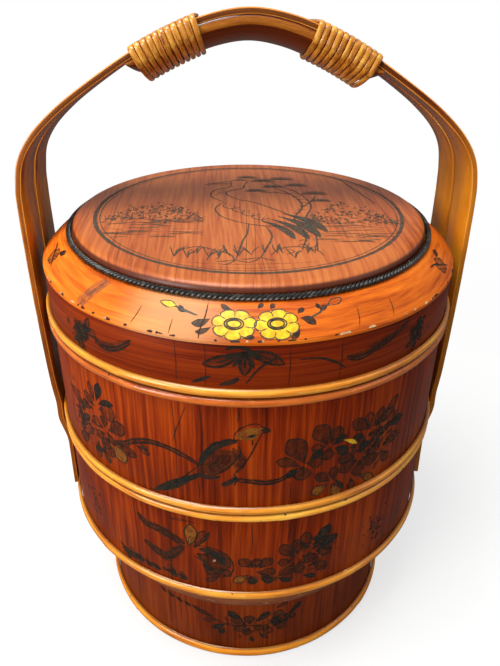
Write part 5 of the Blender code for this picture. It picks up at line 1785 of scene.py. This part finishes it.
    def crane(self, brush: Brush) -> None:
        """Paint a standing crane among grass and stones."""
        ink = Ink.GREY
        for points in (
            [(-20, 18), (-26, 2), (-20, -16), (-4, -29), (14, -35), (30, -34)],
            [(-8, 24), (4, 18), (18, 4), (32, -12), (44, -28)],
            [(-20, 18), (-31, 32), (-29, 48), (-17, 57), (-15, 66)],
            [(-8, 24), (-18, 36), (-17, 46), (-6, 54), (-4, 64)],
            [(-15, 66), (-16, 74), (-9, 79), (-2, 75), (-4, 64)],
            [(-16, 73), (-26, 70), (-38, 64)],
            [(-15, 67), (-26, 66), (-38, 64)],
            [(0, -31), (-1, -50), (-4, -64), (-8, -96)],
            [(12, -35), (16, -50), (15, -64), (8, -92)],
        ):
            brush.stroke(points, 1.2, ink, 0.5)
        for start, end, width in (
            ((26, -8), (56, -46), 8.0), ((22, -14), (50, -56), 8.0), ((16, -20), (42, -60), 7.0), ((10, -24), (32, -60), 6.0),
        ):
            brush.leaf(start, end, width, Ink.GREY, ink, 0.10, 0.8)
        for step in range(5):
            x, y = -14.0 + 7.5 * step, 13.0 - 8.0 * step
            brush.stroke([(x - 4, y + 4), (x - 6, y - 6), (x + 1, y - 11), (x + 8, y - 6)], 0.9, ink, 0.4)
            brush.stroke([(x - 1, y + 1), (x - 1, y - 5), (x + 3, y - 7)], 0.7, Ink.GREY_WASH, 0.4)
        for share in (0.25, 0.5, 0.75):
            brush.stroke([(-29 + 3 * share, 30 + 20 * share), (-24, 34 + 17 * share), (-19, 38 + 14 * share)], 0.8, ink, 0.3)
        brush.blade((-15, 76), (-3, 78), 4.0, Ink.GREY, 0.1, 3)
        for foot in ((-8, -96), (8, -92)):
            for reach in ((-13, -3), (-8, -8), (9, -4)):
                brush.stroke([foot, (foot[0] + reach[0] * 0.5, foot[1] + reach[1] * 0.7), (foot[0] + reach[0], foot[1] + reach[1])], 1.0, ink, 0.4)
        for x, y, wide in ((-34, -84, 15.0), (32, -82, 17.0), (-18, -92, 9.0)):
            arch = [(x - wide, y - 6), (x - wide * 0.7, y + 4), (x, y + 9), (x + wide * 0.8, y + 3), (x + wide, y - 6)]
            brush.stroke(arch, 1.1, ink, 0.4)
            brush.stroke([(x - wide * 0.3, y + 5), (x - wide * 0.1, y), (x - wide * 0.4, y - 4)], 0.8, ink, 0.3)
        for x in range(-46, 50, 7):
            base = (x + brush.chance.uniform(-2, 2), -88 + brush.chance.uniform(-6, 5))
            for _ in range(3):
                tip = (base[0] + brush.chance.uniform(-7, 7), base[1] + brush.chance.uniform(9, 20))
                brush.stroke([base, ((base[0] + tip[0]) / 2 - 1, (base[1] + tip[1]) / 2 + 2), tip], 0.8, ink, 0.3, samples=3)
        for points in ([(-40, -100), (-12, -103), (22, -101), (44, -98)], [(-26, -107), (0, -109), (20, -107)]):
            brush.stroke(points, 0.9, Ink.GREY_WASH, 0.3)
        self.pine(brush)

    def pine(self, brush: Brush) -> None:
        """Paint a leaning pine with fans of needles."""
        for points in (
            [(36, -78), (40, -52), (34, -20), (42, 10), (34, 40), (12, 66)],
            [(46, -80), (47, -50), (42, -22), (49, 12), (40, 44), (18, 72)],
            [(42, 8), (50, 22), (54, 34)], [(36, 38), (22, 44), (10, 42)],
        ):
            brush.stroke(points, 1.4, Ink.GREY, 0.5)
        for y in range(-72, 56, 8):
            x = 40.0 + 4.0 * math.sin(y * 0.11)
            brush.stroke([(x - 3, y), (x, y + 3), (x + 4, y + 1)], 0.8, Ink.GREY, 0.3)
        for x, y, reach in ((12, 74, 12), (28, 80, 12), (-2, 84, 10), (54, 40, 12), (40, 62, 11), (58, 22, 9), (6, 46, 10), (20, 58, 9)):
            for step in range(15):
                angle = math.radians(-10 + step * 200 / 14)
                tip = (x + reach * math.cos(angle), y + reach * 0.8 * math.sin(angle))
                brush.stroke([(x, y), ((x + tip[0]) / 2, (y + tip[1]) / 2 + 0.6), tip], 0.9, Ink.GREY, 0.3, samples=2)

    def build(self) -> None:
        """Paint every surface."""
        self.middle_tier()
        self.lower_tier()
        self.foot()
        self.lid_wall()
        self.shoulder()
        self.panel()


INK_FINISHES = {ink.name: ink.value.make() for ink in Ink}


# Studio
@dataclass
class Studio:
    """Floor, light and the camera at the photograph's viewpoint."""

    focal: float = 623.0
    pitch: float = math.radians(30.34)
    roll: float = math.radians(0.65)
    heading: float = math.radians(3.5)
    place: tuple[float, float, float] = (-0.02635, -0.46309, 0.52236)
    long_side: float = 666.0
    sensor: float = 36.0
    horizon: float = 0.26
    zenith: float = 0.56

    def camera(self) -> None:
        """Place the camera."""
        data = bpy.data.cameras.new("camera")
        data.sensor_fit = "AUTO"
        data.sensor_width = self.sensor
        data.lens = self.focal * self.sensor / self.long_side
        data.clip_start = 0.01
        item = bpy.data.objects.new("camera", data)
        bpy.context.scene.collection.objects.link(item)
        right = Vector((math.cos(self.heading), -math.sin(self.heading), 0.0))
        ahead = Vector((math.sin(self.heading) * math.cos(self.pitch), math.cos(self.heading) * math.cos(self.pitch), -math.sin(self.pitch)))
        up = right.cross(ahead)
        cosine, sine = math.cos(self.roll), math.sin(self.roll)
        right, up = right * cosine + up * sine, up * cosine - right * sine
        turn = Matrix((right, up, -ahead)).transposed().to_4x4()
        item.matrix_world = Matrix.Translation(self.place) @ turn
        bpy.context.scene.camera = item

    def lamp(self, name: str, place: Sequence[float], aim: Sequence[float], size: float, power: float, tint: Colour) -> None:
        """Add a square soft lamp."""
        data = bpy.data.lights.new(name, "AREA")
        data.size = size
        data.energy = power
        data.color = tint
        item = bpy.data.objects.new(name, data)
        bpy.context.scene.collection.objects.link(item)
        item.location = place
        item.rotation_euler = (Vector(aim) - Vector(place)).to_track_quat("-Z", "Y").to_euler()

    def floor(self) -> None:
        """Add the pale floor, which keeps the basket's shadow."""
        bpy.ops.object.select_all(action="DESELECT")
        bpy.ops.mesh.primitive_circle_add(vertices=64, radius=40.0, fill_type="NGON", location=(0.0, 0.0, 0.0))
        item = bpy.context.object
        item.name = "floor"
        board = Board("floor_paint")
        board.finish(Base_Color=(0.88, 0.88, 0.88), Roughness=0.9, Specular_IOR_Level=0.0)
        seen = board.node("LightPath", output="Is Camera Ray")
        glow = board.node("Emission", None, {"Color": (1.0, 1.0, 1.0), "Strength": 1.0})
        dim = board.node("BsdfDiffuse", None, {"Color": (0.16, 0.15, 0.14)})
        far = board.turn()[1].above(0.30, 1.10)
        pale = board.node("MixShader", None, {0: far * 0.35 + 0.65, 1: Signal(board, board.shader.outputs[0]), 2: glow})
        both = board.node("MixShader", None, {0: seen, 1: dim, 2: pale})
        board.links.new(both.socket, board.nodes["Material Output"].inputs["Surface"])
        item.data.materials.append(board.material)
        item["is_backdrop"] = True

    def world(self) -> None:
        """Light the room softly from above, and show it white to the camera."""
        world = bpy.data.worlds.new("room")
        bpy.context.scene.world = world
        board = Board.of_tree(world)
        split = board.node("SeparateXYZ", values={0: board.node("TexCoord", output="Generated")})
        rise = board.node(
            "MapRange", None,
            {"Value": Signal(board, split.socket.node.outputs[2]), "From Max": 0.9, "To Min": self.horizon, "To Max": self.zenith},
        )
        soft = board.node("Background", None, {"Color": (1.0, 1.0, 1.0), "Strength": rise})
        white = board.node("Background", None, {"Color": (1.0, 1.0, 1.0), "Strength": 1.0})
        seen = board.node("LightPath", output="Is Camera Ray")
        both = board.node("MixShader", None, {0: seen, 1: soft, 2: white})
        board.node("OutputWorld", None, {0: both}, None)

    def build(self) -> None:
        """Set up the studio."""
        self.camera()
        self.floor()
        self.world()
        self.lamp("top", (-0.38, -0.30, 1.75), (0.0, 0.05, 0.30), 0.8, 29.0, (1.0, 0.99, 0.97))
        self.lamp("left", (-1.5, -1.3, 0.9), (0.0, 0.0, 0.20), 0.9, 30.0, (1.0, 0.98, 0.95))
        self.lamp("right", (1.5, -0.6, 0.9), (0.0, 0.0, 0.25), 0.9, 2.5, (1.0, 1.0, 1.0))
        bpy.context.scene.view_settings.view_transform = "Standard"


@dataclass
class Insides:
    """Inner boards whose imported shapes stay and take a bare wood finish."""

    nodes: tuple[str, ...] = (
        "lower_tier_floor", "lower_tier_collar", "middle_tier_floor_bearer", "middle_tier_floor", "middle_tier_collar",
    )

    def build(self) -> None:
        """Give each inner board its finish."""
        finish = PlainBoard("inner_board").make()
        for name in self.nodes:
            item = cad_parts[name]
            if not item.material_slots:
                item.data.materials.append(finish)
            for slot in item.material_slots:
                slot.material = finish
            LOG.info("%s: inner board finish", name)


def main() -> None:
    """Build the basket's visible pieces in order."""
    logging.basicConfig(level=logging.INFO, format="%(message)s")
    for part in (Studio(), Walls(), Hoops(), LidTop(), Handle(), Ornament(), Insides()):
        LOG.info("building %s", type(part).__name__)
        part.build()
    boxes = {"cad": cad, "visual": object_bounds()}
    rows = {name: [[float(value) for value in corner] for corner in box] for name, box in boxes.items()}


if __name__ == "__main__":
    main()
